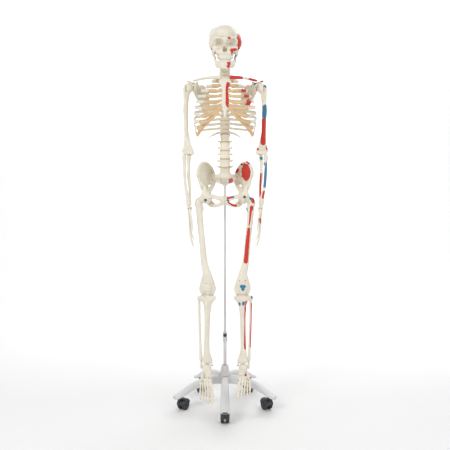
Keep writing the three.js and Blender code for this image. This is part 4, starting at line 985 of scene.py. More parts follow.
def skull_form():
    """The whole skull as one hollow form, before it is cut level into base and cap."""
    form = Form(1.8)
    h = head_spot
    form.egg(h(0, -46, 54), (71, 87, 69), blend=8)
    form.egg(h(0, -36, 42), (74, 66, 52), blend=12)
    form.egg(h(0, -100, 42), (46, 32, 40), blend=14)
    form.egg(h(0, 2, 60), (55, 56, 48), blend=12)
    for s in (-1, 1):
        form.egg(h(s * 46, -62, 78), (24, 36, 34), blend=16)
        form.rod([h(s * 8, 62, 42), h(s * 24, 62, 47), h(s * 42, 54, 46), h(s * 51, 43, 36),
                  h(s * 52, 38, 26)], [5, 5.5, 5.5, 5, 4.5], blend=6)
        form.rod([h(s * 52, 38, 28), h(s * 52, 35, 16), h(s * 47, 42, 8)], [4.5, 4.5, 7], blend=4)
        form.rod([h(s * 20, 56, 8), h(s * 34, 54, 8), h(s * 47, 44, 8)], [6, 6, 7], blend=5)
        form.egg(h(s * 43, 46, 4), (11, 9, 10), blend=7)
        form.rod([h(s * 47, 42, 8), h(s * 58, 28, 11), h(s * 63, 10, 13), h(s * 62, -6, 12),
                  h(s * 57, -14, 12)], [(4, 6.5), (2.6, 5.5), (2.4, 4), (3, 4.5), (4, 6)], wide=(1, 0.3, 0),
                 blend=4)
        form.rod([h(s * 20, 52, -16), h(s * 28, 48, -10), h(s * 40, 44, 0)], [8, 8, 8], blend=8)
        form.egg(h(s * 51, -24, -2), (9, 13, 18), blend=6)
        form.egg(h(s * 14, -14, -3), (7, 11, 7), blend=4)
        form.rod([h(s * 13, 14, -4), h(s * 14, 16, -26)], [(3, 7), (2.5, 5)], blend=5, pieces=1)
        form.rod([h(s * 31, 16, 6), h(s * 31, 16, -12), h(s * 29, 22, -26)], [(8.5, 8), (8, 8), (7, 8)],
                 blend=6)
    form.egg(h(0, 62, 40), (9, 7, 9), blend=7)
    form.rod([h(0, 58, 34), h(0, 64, 24), h(0, 71, 13)], [(8, 6), (6.5, 4), (6.5, 3)], blend=3)
    form.egg(h(0, 40, -10), (29, 22, 24), blend=8)
    form.rod([h(-28, 26, -31), h(-26, 42, -32), h(-17, 56, -33), h(0, 62, -33), h(17, 56, -33),
              h(26, 42, -32), h(28, 26, -31)], [(5.5, 8), (5.5, 8), (5, 9), (5, 10), (5, 9), (5.5, 8),
                                                (5.5, 8)], wide=(0, 1, 0), blend=4)
    form.egg(h(0, 20, 4), (34, 30, 20), blend=8)
    form.egg(h(0, -34, 10), (40, 42, 16), blend=10)
    # openings
    form.egg(h(0, -46, 58), (65, 81, 63), blend=3, carve=True)
    form.egg(h(0, -38, 46), (68, 58, 44), blend=3, carve=True)
    form.egg(h(0, 0, 70), (44, 44, 31), blend=5, carve=True)
    for s in (-1, 1):
        form.egg(h(s * 30, 58, 28), (16.5, 18, 14), turn=(0, s * 0.2, s * -0.25), blend=5, carve=True)
        form.rod([h(s * 30, 54, 28), h(s * 26, 42, 27), h(s * 21, 32, 26)], [(14, 12), (9, 8), (4, 3.5)],
                 blend=4, carve=True)
        form.egg(h(s * 63, 20, 34), (15, 20, 24), blend=6, carve=True)
        form.egg(h(s * 52, 22, 0), (9, 22, 26), blend=4, carve=True)
        form.rod([h(s * 4, 64, -3), h(s * 4, 48, -1), h(s * 4, 38, 0)], [(6, 9), (5.5, 10), (4, 7)],
                 blend=2, carve=True)
        form.rod([h(s * 70, -12, 4), h(s * 50, -12, 4)], [4, 3], blend=2, pieces=1, carve=True)
        form.egg(h(s * 25, 60, 6.5), (2, 3, 1.8), blend=1, carve=True)
        form.rod([h(s * 40, 0, 0), h(s * 62, 0, 0)], [8.5, 8.5], blend=2, pieces=1, carve=True)
    form.rod([h(0, 68, -5), h(0, 68, 6), h(0, 69, 16), h(0, 70, 24)],
             [(10.5, 13), (9.5, 12), (6.5, 10), (3.2, 8)], blend=2.5, carve=True)
    form.rod([h(0, 62, 10), h(0, 46, 10)], [(6, 10), (5, 9)], wide=(1, 0, 0), blend=2, pieces=1, carve=True)
    form.rod([h(0, -34, -30), h(0, -34, 40)], [(15, 17), (15, 17)], blend=3, pieces=1, carve=True)
    form.egg(h(0, 26, -34), (19, 26, 13), blend=4, carve=True)
    return form


def mandible_form():
    """Jaw bone: a curved bar with a chin, and a branch up each side to its hinge."""
    form = Form(1.5)
    h = head_spot
    form.rod([h(-42, 4, -46), h(-40, 16, -53), h(-33, 36, -61), h(-19, 55, -66), h(0, 61, -68),
              h(19, 55, -66), h(33, 36, -61), h(40, 16, -53), h(42, 4, -46)],
             [(17, 4.5), (17, 5), (16, 5.8), (15, 6.2), (15, 6.5), (15, 6.2), (16, 5.8), (17, 5),
              (17, 4.5)], wide=(0, 0, 1), blend=3)
    form.egg(h(0, 64, -76), (13, 6, 7), blend=6)
    for s in (-1, 1):
        form.egg(h(s * 9, 61, -80), (7, 6, 4), blend=5)
        form.rod([h(s * 42, 5, -48), h(s * 45, 5, -30), h(s * 48, 2, -12)], [(15, 5), (15, 5), (13, 4)],
                 wide=(0, 1, 0), blend=4)
        form.rod([h(s * 48.5, 0, -14), h(s * 50, 0, -6), h(s * 50, 0, -1)], [(6, 4), (4.5, 4), (4, 7)],
                 wide=(0, 1, 0), blend=3)
        form.rod([h(s * 42.5, 0, 0), h(s * 56, 0, 0)], [5.8, 5.8], blend=2, pieces=1)
        form.rod([h(s * 48, 13, -14), h(s * 47, 20, -4), h(s * 47, 22, 3)], [(6, 3), (4.5, 2.6), (2.5, 2)],
                 wide=(0, 1, 0), blend=3)
        form.egg(h(s * 25, 57, -66), (1.8, 4, 1.8), blend=1, carve=True)
    return form


def tooth_row(level, direction, spread, front):
    """Teeth round a jaw: each a rounded block (superellipsoid) whose root end is buried in the bone.
    At angles a and b its point is (width * cos b cos a, depth * cos b sin a, height * sin b), each sine and
    cosine raised to a power under 1 that squares the crown."""
    sizes = [(4.2, 3.2, 7.5), (3.3, 3.0, 7), (3.7, 3.7, 8), (3.4, 4.2, 6.5), (3.4, 4.3, 6.5), (4.9, 5.0, 6),
             (4.7, 4.9, 6)]
    if direction > 0:
        sizes = [(2.8, 2.9, 7), (3.0, 3.0, 7), (3.4, 3.6, 7.8), (3.4, 3.9, 6.5), (3.5, 4.1, 6.5),
                 (5.2, 4.8, 6), (5, 4.7, 6)]
    arch = smooth_path([(0, front, 0), (9, front - 1.5, 0), (17, front - 8, 0), (22.5, front - 19, 0),
                        (spread, front - 36, 0)], 30)
    run = np.concatenate([[0], np.cumsum(np.linalg.norm(np.diff(arch, axis=0), axis=1))])
    a = np.linspace(0, 2 * np.pi, 12, endpoint=False)
    b = np.linspace(-np.pi / 2 + 0.1, np.pi / 2 - 0.1, 8)[:, None]
    crowns = []
    place_along = 0.0
    fit = (run[-1] - 1.5) / (2 * sum(width for width, _, _ in sizes))
    for width, depth, height in sizes:
        width *= fit
        place_along += width
        x, f = np.interp(place_along, run, arch[:, 0]), np.interp(place_along, run, arch[:, 1])
        x2, f2 = np.interp(place_along + 1, run, arch[:, 0]), np.interp(place_along + 1, run, arch[:, 1])
        way = np.array([x2 - x, f2 - f])
        way /= np.linalg.norm(way)
        u = width * 1.02 * rounded(np.cos(b), 0.6) * rounded(np.cos(a), 0.7)
        v = depth * rounded(np.cos(b), 0.6) * rounded(np.sin(a), 0.8) * (1 - 0.25 * direction * np.sin(b))
        w = height * np.sin(b) + 0 * a
        for s in (-1, 1):
            px = s * (x + u * way[0] - v * way[1])
            pf = f + u * way[1] + v * way[0]
            rings = np.stack([px, JAW[1] - pf, JAW[2] + level + w], -1)
            points, faces = grid_faces(rings, rings[0].mean(0), rings[-1].mean(0))
            crowns.append((points, faces if s < 0 else faces[:, ::-1]))
        place_along += width
    return crowns


# ---------------------------------------------------------------- materials
class Graph:
    """Makes shader nodes and joins them: an input is either another node's output or a plain value."""

    def __init__(self, tree):
        self.tree = tree

    def node(self, kind, inputs=None, **settings):
        made = self.tree.nodes.new(kind)
        for name, value in settings.items():
            setattr(made, name, value)
        for key, value in (inputs or {}).items():
            if isinstance(value, bpy.types.NodeSocket):
                self.tree.links.new(value, made.inputs[key])
            else:
                made.inputs[key].default_value = value
        return made

    def maths(self, operation, a, b=0.0, clamp=False):
        return self.node("ShaderNodeMath", {0: a, 1: b}, operation=operation, use_clamp=clamp).outputs[0]

    def blend(self, share, a, b, mode="MIX"):
        made = self.node("ShaderNodeMix", {0: share, 6: a, 7: b}, data_type="RGBA", blend_type=mode)
        return made.outputs[2]

    def noise(self, where, scale, detail=2.0, rough=0.5):
        return self.node("ShaderNodeTexNoise", {"Vector": where, "Scale": scale, "Detail": detail,
                                                "Roughness": rough}).outputs[0]

    def ramp(self, value, low, high, start=0.0, end=1.0):
        return self.node("ShaderNodeMapRange", {"Value": value, "From Min": low, "From Max": high,
                                                "To Min": start, "To Max": end},
                         interpolation_type="SMOOTHSTEP").outputs[0]


def new_group(name, inputs, outputs):
    """A node group with its named sockets, and its input and output nodes."""
    tree = bpy.data.node_groups.new(name, "ShaderNodeTree")
    for label, kind in inputs:
        tree.interface.new_socket(label, in_out="INPUT", socket_type=kind)
    for label, kind in outputs:
        tree.interface.new_socket(label, in_out="OUTPUT", socket_type=kind)
    graph = Graph(tree)
    return graph, graph.node("NodeGroupInput").outputs, graph.node("NodeGroupOutput")


def moulded_skin_group():
    """Moulded plastic: broad uneven tone, painted shade in hollows that is partly a brownish wash, a fine
    grain and an uneven sheen.
    """
    graph, given, out = new_group(
        "moulded_skin",
        [("Vector", "NodeSocketVector"), ("Light", "NodeSocketColor"), ("Shade And Mottle", "NodeSocketColor"),
         ("Hollow", "NodeSocketFloat"), ("Hollow Shade And Wash Strength", "NodeSocketFloat"), ("Gloss", "NodeSocketFloat")],
        [("Color", "NodeSocketColor"), ("Roughness", "NodeSocketFloat"), ("Height", "NodeSocketFloat")])
    broad = graph.noise(given["Vector"], 22.0, 3.0)
    patchy = graph.noise(given["Vector"], 110.0, 4.0, 0.6)
    fine = graph.noise(given["Vector"], 900.0, 3.0, 0.65)
    pits = graph.node("ShaderNodeTexVoronoi", {"Vector": given["Vector"], "Scale": 420.0}).outputs["Distance"]
    # painted shade: enclosed points darken towards the dark colour as if shaded, partly also standing for a
    # brownish wash in crevices
    hollow_shade_and_wash = graph.maths("MULTIPLY", graph.maths("POWER", given["Hollow"], 1.6), given["Hollow Shade And Wash Strength"])
    uneven = graph.maths("MULTIPLY", graph.ramp(patchy, 0.5, 0.75), 0.16)
    clouds = graph.maths("MULTIPLY", graph.ramp(broad, 0.35, 0.7), 0.14)
    share = graph.maths("ADD", graph.maths("ADD", hollow_shade_and_wash, uneven), clouds, clamp=True)
    out_links = {"Color": graph.blend(share, given["Light"], given["Shade And Mottle"]),
                 "Roughness": graph.maths("ADD", given["Gloss"], graph.maths("MULTIPLY", patchy, 0.16)),
                 "Height": graph.maths("ADD", graph.maths("MULTIPLY", fine, 0.6),
                                       graph.maths("MULTIPLY", pits, 0.4))}
    for name, value in out_links.items():
        graph.tree.links.new(value, out.inputs[name])
    return graph.tree


def muscle_paint_group():
    """Hand-painted muscle patches: a cover value turned into a brushed edge and a streaky fill."""
    graph, given, out = new_group(
        "muscle_paint",
        [("Vector", "NodeSocketVector"), ("Under", "NodeSocketColor"), ("Paint", "NodeSocketColor"),
         ("Deep Paint", "NodeSocketColor"), ("Cover", "NodeSocketFloat")],
        [("Color", "NodeSocketColor"), ("Mask", "NodeSocketFloat")])
    wobble = graph.maths("MULTIPLY", graph.maths("SUBTRACT", graph.noise(given["Vector"], 160.0, 3.0), 0.5),
                         0.45)
    cover = graph.maths("ADD", given["Cover"], wobble)
    mask = graph.ramp(cover, 0.44, 0.56)
    inner = graph.ramp(cover, 0.5, 0.75, 1.0, 0.0)
    streaks = graph.noise(given["Vector"], 320.0, 4.0, 0.7)
    deep = graph.maths("MULTIPLY", graph.maths("ADD", inner, graph.ramp(streaks, 0.45, 0.7)), 0.45,
                       clamp=True)
    colour = graph.blend(mask, given["Under"], graph.blend(deep, given["Paint"], given["Deep Paint"]))
    graph.tree.links.new(colour, out.inputs["Color"])
    graph.tree.links.new(mask, out.inputs["Mask"])
    return graph.tree


MOULDED_SKIN = moulded_skin_group()
MUSCLE_PAINT = muscle_paint_group()


def new_material(name):
    """An empty material: its graph, its shader and the Object coordinates that its patterns read."""
    material = bpy.data.materials.new(name)
    material.use_nodes = True
    material.node_tree.nodes.clear()
    graph = Graph(material.node_tree)
    shader = graph.node("ShaderNodeBsdfPrincipled")
    graph.node("ShaderNodeOutputMaterial", {"Surface": shader.outputs[0]})
    return material, graph, shader, graph.node("ShaderNodeTexCoord").outputs["Object"]


def moulded(name, light, shade_and_mottle, hollow_shade_and_wash_strength, gloss, bump, painted=False, hollow=True):
    """A moulded plastic, with room for painted patches."""
    material, graph, shader, where = new_material(name)
    # the hollow layer turns into painted shade in recesses, partly a brownish wash; without it the dark
    # colour only comes from the random tone
    deep = graph.node("ShaderNodeAttribute", attribute_name="hollow").outputs["Fac"] if hollow else 0.0
    skin = graph.node("ShaderNodeGroup", {"Vector": where, "Light": light, "Shade And Mottle": shade_and_mottle, "Hollow": deep,
                                          "Hollow Shade And Wash Strength": hollow_shade_and_wash_strength, "Gloss": gloss}, node_tree=MOULDED_SKIN)
    colour = skin.outputs["Color"]
    if painted:
        for layer, paint, dark in (("red", (0.66, 0.03, 0.018, 1), (0.36, 0.016, 0.012, 1)),
                                   ("blue", (0.03, 0.2, 0.36, 1), (0.014, 0.1, 0.2, 1))):
            cover = graph.node("ShaderNodeAttribute", attribute_name=layer).outputs["Fac"]
            paint_node = graph.node("ShaderNodeGroup", {"Vector": where, "Under": colour, "Paint": paint,
                                                        "Deep Paint": dark, "Cover": cover},
                                    node_tree=MUSCLE_PAINT)
            colour = paint_node.outputs["Color"]
    material.node_tree.links.new(colour, shader.inputs["Base Color"])
    material.node_tree.links.new(skin.outputs["Roughness"], shader.inputs["Roughness"])
    relief = graph.node("ShaderNodeBump", {"Height": skin.outputs["Height"], "Strength": bump,
                                           "Distance": 0.0004})
    material.node_tree.links.new(relief.outputs[0], shader.inputs["Normal"])
    return material


def sprayed(name, light, shade, gloss, metallic=0.0, along=None):
    """Sprayed or plated metal: a faint cloudy tone, orange-peel relief and rub marks. along stretches them
    down a pole."""
    material, graph, shader, where = new_material(name)
    if along:
        where = graph.node("ShaderNodeMapping", {"Vector": where, "Scale": along}).outputs[0]
    clouds = graph.noise(where, 14.0, 4.0, 0.6)
    scuffs = graph.ramp(graph.noise(where, 160.0, 6.0, 0.75), 0.6, 0.78)
    colour = graph.blend(graph.ramp(clouds, 0.3, 0.75, 0.0, 0.6), light, shade)
    colour = graph.blend(graph.maths("MULTIPLY", scuffs, 0.25), colour, shade)
    peel = graph.noise(where, 700.0, 2.0)
    relief = graph.node("ShaderNodeBump", {"Height": peel, "Strength": 0.12, "Distance": 0.0003})
    shader.inputs["Metallic"].default_value = metallic
    graph.tree.links.new(colour, shader.inputs["Base Color"])
    graph.tree.links.new(graph.maths("ADD", gloss, graph.maths("MULTIPLY", scuffs, 0.2)),
                         shader.inputs["Roughness"])
    graph.tree.links.new(relief.outputs[0], shader.inputs["Normal"])
    return material


# the brown second colour is the dark end of the painted shade in hollows (partly a brownish wash) and of the
# random tone
BONE = moulded("ivory_bone", (0.86, 0.815, 0.70, 1), (0.50, 0.375, 0.22, 1), 0.5, 0.36, 0.35, painted=True)
CARTILAGE = moulded("tan_cartilage", (0.74, 0.52, 0.29, 1), (0.40, 0.24, 0.10, 1), 0.6, 0.34, 0.35,
                    hollow=False)
DISC = moulded("yellow_disc", (0.60, 0.47, 0.25, 1), (0.36, 0.26, 0.11, 1), 0.5, 0.4, 0.3, hollow=False)
TOOTH = moulded("tooth_enamel", (0.88, 0.85, 0.74, 1), (0.62, 0.52, 0.34, 1), 0.4, 0.22, 0.1, hollow=False)
GREY_PAINT = sprayed("light_grey_paint", (0.74, 0.74, 0.745, 1), (0.6, 0.605, 0.615, 1), 0.34)
POLE_FINISH = sprayed("pole_silver", (0.76, 0.76, 0.77, 1), (0.62, 0.62, 0.635, 1), 0.28, 0.12,
                      along=(1, 1, 0.08))
STEEL = sprayed("screw_steel", (0.10, 0.10, 0.105, 1), (0.04, 0.04, 0.045, 1), 0.34, 0.6)
BLACK_PLASTIC = moulded("black_caster_plastic", (0.028, 0.036, 0.042, 1), (0.06, 0.068, 0.075, 1), 0.3,
                        0.36, 0.5, hollow=False)
BLACK_RUBBER = moulded("black_wheel_rubber", (0.022, 0.023, 0.026, 1), (0.055, 0.055, 0.06, 1), 0.4, 0.5,
                       0.6, hollow=False)


# ---------------------------------------------------------------- skeleton pieces
def build_legs():
    """Thigh bones, knee caps, shin and calf bones and feet, with the left side's painted patches."""
    red_thigh = [
        ([HIP + (26, -12, -60), HIP + (20, -18, -110), HIP + (16, -24, -140)], 6.5),
        ([HIP + (16, -24, -140), HIP + (10, -28, -210), HIP + (4, -34, -285)], 11),
        (HIP + (36, -8, -12), (9, 12, 14)), (HIP + (30, -12, -48), (9, 10, 13)),
        ([HIP + (36, 2, -40), HIP + (30, 4, -64)], 7),
        (KNEE + (-14, -24, 48), (4, 5, 6)), (KNEE + (14, -24, 48), (4, 5, 6)),
        ([KNEE + (22, 10, 60), KNEE + (30, 12, 40)], 5),
    ]
    blue_thigh = [(HIP + (10, 10, -58), (9, 12, 12)), (HIP + (26, -8, -2), (8, 9, 8)),
                  ([HIP + (20, 14, -80), HIP + (12, 4, -190)], 4)]
    both_sides("femur", femur_form().skin(), "thigh", BONE, red=red_thigh, blue=blue_thigh)
    centre = np.array([KNEE[0] + 1, KNEE[1] - 38, KNEE[2] + 18])
    both_sides("patella", patella_form().skin(), "thigh", BONE,
               blue=[(centre + (-6, 0, 7), (8, 9, 8)), (centre + (6, 0, 7), (8, 9, 8)),
                     (centre + (0, 0, -3), (8, 9, 11))])
    red_shin = [
        ([KNEE + (14, -14, -52), KNEE + (14, -10, -110), KNEE + (14, -8, -180), KNEE + (11, -6, -270)], 7),
        ([KNEE + (-4, 16, -60), KNEE + (0, 16, -130), KNEE + (3, 12, -230)], 6),
    ]
    blue_shin = [(KNEE + (4, -24, -56), (7, 7, 10)), (KNEE + (-14, -14, -62), (6, 7, 10)),
                 (KNEE + (-26, 8, -44), (7, 8, 7))]
    both_sides("tibia", tibia_form().skin(), "shank", BONE, red=red_shin, blue=blue_shin)
    red_calf = [([KNEE + (43, 14, -66), KNEE + (42, 11, -150), ANKLE + (33, 4, 90)], 3.6)]
    blue_calf = [(KNEE + (45, 14, -36), (6, 9, 8))]
    both_sides("fibula", fibula_form().skin(), "shank", BONE, red=red_calf, blue=blue_calf)
    foot = foot_form().skin()
    for name, _ in SIDES:
        painted = {}
        if name == "left":
            painted = {"blue": [(ANKLE + (24, -54, -52), (6, 7, 5)), (ANKLE + (-22, -80, -40), (5, 7, 5))],
                       "red": [(ANKLE + (10, -30, -32), (6, 8, 6))]}
        bone(f"foot_{name}_bones", pitched(foot, name), f"foot_{name}", BONE, [f"foot_{name}"], **painted)


def build_pelvis():
    """The two hip bones and the sacrum."""
    skin = hip_bone_form().skin()
    red = [(np.array([92, 4, 1112]), (27, 50, 41)), ([(52, 66, 1106), (60, 56, 1124)], 6),
           ([(76, 34, 1148), (88, 16, 1156)], 6), ([(100, -12, 1157), (110, -32, 1147)], 6),
           ([(12, -90, 1000), (30, -84, 1004)], 5), ([(16, -86, 982), (34, -66, 968), (50, -40, 962)], 5), ]
    blue = [(np.array([13, -92, 990]), (6, 8, 6)), (np.array([36, -84, 1004]), (6, 6, 5)),
            (np.array([106, -54, 1054]), (5, 5, 5))]
    bone("hip_bone_left_bone", skin, "trunk", BONE, ["hip_bone_left"], red=red, blue=blue)
    bone("hip_bone_right_bone", mirrored(skin), "trunk", BONE, ["hip_bone_right"])
    bone("sacrum_bone", sacrum_form().skin(), "trunk", BONE, ["sacrum"],
         red=[([(26, -4, 1080), (28, 14, 1070), (24, 34, 1058)], 9)])


LOIN_BOTTOM = 1102.4
LOIN_TOP = 1277.6
LOIN_COUNT = 5
NECK_BOTTOM = 1531.4
NECK_TOP = 1629.0
NECK_COUNT = 7


def build_spine():
    """The loin, chest and neck vertebrae, each column one piece, and all the discs between them."""
    lumbar = Form(1.6)
    pitch = (LOIN_TOP - LOIN_BOTTOM) / LOIN_COUNT
    for i in range(LOIN_COUNT):
        size = i / 4
        vertebra(lumbar, LOIN_BOTTOM + pitch * (i + 0.5), pitch - 9, 24 - 2.5 * size, 17, 27, 5,
                 38 - 4 * size, 4, "loin")
    edge = [([(22, -20, 1180), (21, -20, 1200), (20, -14, 1240)], 4)]
    bone("lumbar_vertebrae", lumbar.skin(), "trunk", BONE, ["lumbar_spine"],
         red=edge + [(np.array([37, 2, 1122 + pitch * i]), (3, 5, 3)) for i in range(LOIN_COUNT)])
    neck = Form(1.2)
    step = (NECK_TOP - NECK_BOTTOM) / NECK_COUNT
    for i in range(NECK_COUNT):
        top = i == NECK_COUNT - 1
        vertebra(neck, NECK_BOTTOM + step * (i + 0.5), step - 3.6, 17 - 0.4 * i, 9.0,
                 10 if top else 22 - 1.6 * i, 2, 34 if top else 28 - 0.4 * i, 0, "neck")
    bone("cervical_vertebrae", neck.skin(), "trunk", BONE, ["cervical_spine"])
    chest = Form(1.6)
    for number in range(1, RIB_COUNT + 1):
        share = (number - 1) / (RIB_COUNT - 1)
        vertebra(chest, rib_level(number), RIB_PITCH - 4.6, 15 + 4.5 * share, 10 + 4.5 * share, 21,
                 13 - 6 * share, 27 - 5 * share, 13, "chest")
    bone("thoracic_vertebrae", chest.skin(), "trunk", BONE)
    discs = []
    for i in range(LOIN_COUNT + 1):
        level = 1104 if i == 0 else LOIN_BOTTOM + pitch * i
        discs.append(disc(level, 9.5, 24.6 - 2.4 * i / 4, 17.6))
    for number in range(2, RIB_COUNT + 1):
        share = (number - 1.5) / (RIB_COUNT - 1)
        discs.append(disc(CHEST_TOP - RIB_PITCH * (number - 1), 4.6, 15 + 4.5 * share, 10 + 4.5 * share))
    for i in range(NECK_COUNT - 1):
        discs.append(disc(NECK_BOTTOM + step * i, 3.8, 17 - 0.4 * i, 9.2))
    join_surfaces("spinal_discs", discs, "trunk", "cartilage", DISC)


def join_surfaces(name, surfaces, body, slot, material, nodes=()):
    """Several swept surfaces as one piece."""
    points = np.vstack([s[0] for s in surfaces])
    starts = np.cumsum([0] + [len(s[0]) for s in surfaces[:-1]])
    faces = np.vstack([s[1] + start for s, start in zip(surfaces, starts)])
    made = new_object(name, points, faces, material)
    place(made, body, slot, *nodes)
    return made


def flipped(surface):
    """A swept surface on the other side of the middle plane."""
    points, faces = surface
    return points * (-1, 1, 1), faces[:, ::-1]


def build_chest():
    """Twelve pairs of ribs, painted where muscles start, with the breastbone and the cartilages."""
    for number in range(1, RIB_COUNT + 1):
        left = rib_surface(number)
        points = left[0]
        made = join_surfaces(f"rib_pair_{number:02d}", [left, flipped(left)], "trunk", "bone", BONE,
                             [f"thoracic_segment_{number:02d}"])
        count = len(points)
        red = np.zeros(2 * count)
        if 3 <= number <= 5:
            red[:count] = patches(points, [([rib_path(number)[-2], rib_path(number)[-1] + (4, 4, 0)], 9)])
        if 2 <= number <= 8:
            red[:count] = np.maximum(red[:count], patches(points,
                                                          [(rib_path(number)[-3] + (2, 0, 0), (5, 12, 9))]))
        paint_on(made, red=red)
    bone("sternum_bone", sternum_form().skin(), "trunk", BONE, ["sternum_and_cartilage"],
         red=[([sternum_line(t) + (x, -5, 0) for t, x in ((0.16, 13), (0.3, 10), (0.5, 10), (0.66, 10),
                                                          (0.74, 16))], 7.5)])
    strips = cartilage_surfaces()
    join_surfaces("costal_cartilage", strips + [flipped(s) for s in strips], "trunk", "cartilage", CARTILAGE)


def build_shoulders():
    """The collar bones and the shoulder blades."""
    points, faces = clavicle_surface()
    open_all_over = np.zeros(len(points))
    skin = (points, faces, open_all_over)
    red = [([(26, -80, 1524), (48, -83, 1522), (70, -76, 1521)], 9), ([(106, -36, 1522), (140, -8, 1519)], 9)]
    bone("clavicle_left_bone", skin, "trunk", BONE, ["clavicle_left"], red=red)
    bone("clavicle_right_bone", mirrored(skin), "trunk", BONE, ["clavicle_right"])
    blade = scapula_form().skin()
    red = [(np.array([166, 18, 1522]), (11, 18, 7)), ([(96, 70, 1400), (112, 66, 1430)], 14),
           (np.array([140, 30, 1456]), (6, 6, 8))]
    blue = [(SHOULDER + (-30, -26, 12), (6, 8, 8)), ([(78, 98, 1380), (72, 96, 1440)], 5)]
    bone("scapula_left_bone", blade, "trunk", BONE, ["scapula_left"], red=red, blue=blue)
    bone("scapula_right_bone", mirrored(blade), "trunk", BONE, ["scapula_right"])


def build_arms():
    """Upper arm and forearm bones and hands, with the left side's painted patches."""
    both_sides("humerus", humerus_form().skin(), "upper_arm", BONE,
               red=[([(174, -2, 1340), (174, -4, 1290), (173, -4, 1246)], 14),
                    (ELBOW + (-22, 2, 12), (7, 8, 10)), (ELBOW + (20, 2, 22), (6, 8, 14))],
               blue=[(SHOULDER + (17, -8, 4), (8, 10, 10)), ([(180, -2, 1402), (180, -2, 1364)], 13),
                     ([SHOULDER + (2, -17, -30), SHOULDER + (6, -13, -60)], 4)])
    both_sides("ulna", ulna_form().skin(), "forearm", BONE,
               red=[([(162, -14, 1104), (160, -18, 1050), (160, -20, 1004)], 8)],
               blue=[(ELBOW + (-7, -12, -26), (8, 7, 9)), (ELBOW + (-7, 22, 12), (8, 7, 7))])
    both_sides("radius", radius_form().skin(), "radius", BONE, red=[([(176, -40, 1024), (172, -46, 1000)],
                                                                     7)],
               blue=[(RADIUS_HEAD + (-8, -3, -31), (6, 6, 9)), ([(188, -14, 1156), (184, -20, 1100),
                                                                 (180, -30, 1052)], 9)])
    both_sides("hand", hand_form().skin(), "hand", BONE,
               red=[(WRIST + (-9, -36, -60), (9, 12, 15)), (WRIST + (-2, 2, -50), (6, 14, 8))],
               blue=[(WRIST + (-3, -24, -110), (6, 6, 5))])


def build_head():
    """One skull form cut level into cap and base, with the jaw and both rows of teeth."""
    skull = skull_form()
    red = [(head_spot(66, 12, 40), (18, 44, 34)), ([head_spot(28, 56, -6), head_spot(46, 48, 2),
                                                    head_spot(60, 26, 8)], 7),
           (head_spot(18, 66, 44), (7, 8, 5)), (head_spot(30, 52, -16), (8, 8, 5))]
    bone("skull_cap_bone", skull.skin(above=SKULL_CUT + 0.15), "calvaria", BONE, ["skull_cap"],
         red=[(head_spot(66, 12, 46), (18, 44, 34))])
    bone("skull_base_bone", skull.skin(below=SKULL_CUT - 0.2), "skull", BONE, ["skull_base"], red=red)
    bone("mandible_bone", mandible_form().skin(), "jaw", BONE, ["mandible"],
         red=[(head_spot(18, 64, -60), (9, 10, 10)), (head_spot(15, 66, -74), (9, 8, 7))],
         blue=[([head_spot(50, 8, -24), head_spot(45, 6, -48)], 11)])
    for name, rows, body in (("upper_teeth", (-37, -1, 27, 66), "skull"),
                             ("lower_teeth", (-50, 1, 25.5, 62.5), "jaw")):
        join_surfaces(name, tooth_row(*rows), body, "bone", TOOTH)


SCREW_HEAD = [(0.2, -4), (1, -4), (1, -0.4), (0.98, 0.1), (0.8, 0.42), (0.5, 0.5), (0.46, 0.1), (0.2, 0.05)]


def screw(spot, way, radius):
    """A round-headed screw with a dished drive, its head standing off the bone along way."""
    profile = [(share * radius, rise if rise < -1 else rise * radius) for share, rise in SCREW_HEAD]
    return lathe(profile, spot, axis=way, sides=24)


def build_screws():
    """The dark screws and pins that hold the bones together at the joints."""
    for name, side in SIDES:
        flip = np.array([side, 1, 1])

        def heads(label, body, spots):
            made = [screw(np.asarray(spot) * flip, np.asarray(way) * flip, size) for spot, way, size in spots]
            join_surfaces(f"{label}_{name}_screws", made, body, "pole", STEEL)

        heads("hip", "trunk", [((87, HIP[1] - 30.5, HIP[2] + (4 if side > 0 else -10)), (0, -1, 0), 5.8)])
        heads("knee", f"thigh_{name}", [(KNEE + (37, 4, 4), (1, 0, 0), 4.2),
                                        (KNEE + (-37, 4, 4), (-1, 0, 0), 4.2)])
        heads("shoulder", "trunk", [(SHOULDER + (-25, -3, 20), (-0.2, -0.8, 0.5), 3.2)])
        heads("elbow", f"upper_arm_{name}", [(ELBOW + (-25.5, 2, 6), (-1, 0, 0), 3.2),
                                             (ELBOW + (22, 2, 4), (1, 0, 0), 3.2)])
        heads("wrist", f"hand_{name}", [(WRIST + (1, -23.5, -8), (0, -1, 0), 2.4)])
        heads("ankle", f"shank_{name}", [(ANKLE + (-26, 0, 4), (-1, 0, 0), 3)])


# ---------------------------------------------------------------- stand
LEG_COUNT = 5
CASTER_REACH = 215.0
AXLE = np.array([0, 18.0, 25.0])   # from the caster's swivel axis on the floor
CASTER_TURNS = [0, 0.5, math.pi - 0.4, math.pi + 0.4, -0.5]
CLAMP_SCREW = (0, -6.9, 349)


def leg_angle(k):
    """The way that a base leg points, the first of them straight forwards."""
    return math.radians(-90 + 360 // LEG_COUNT * k)


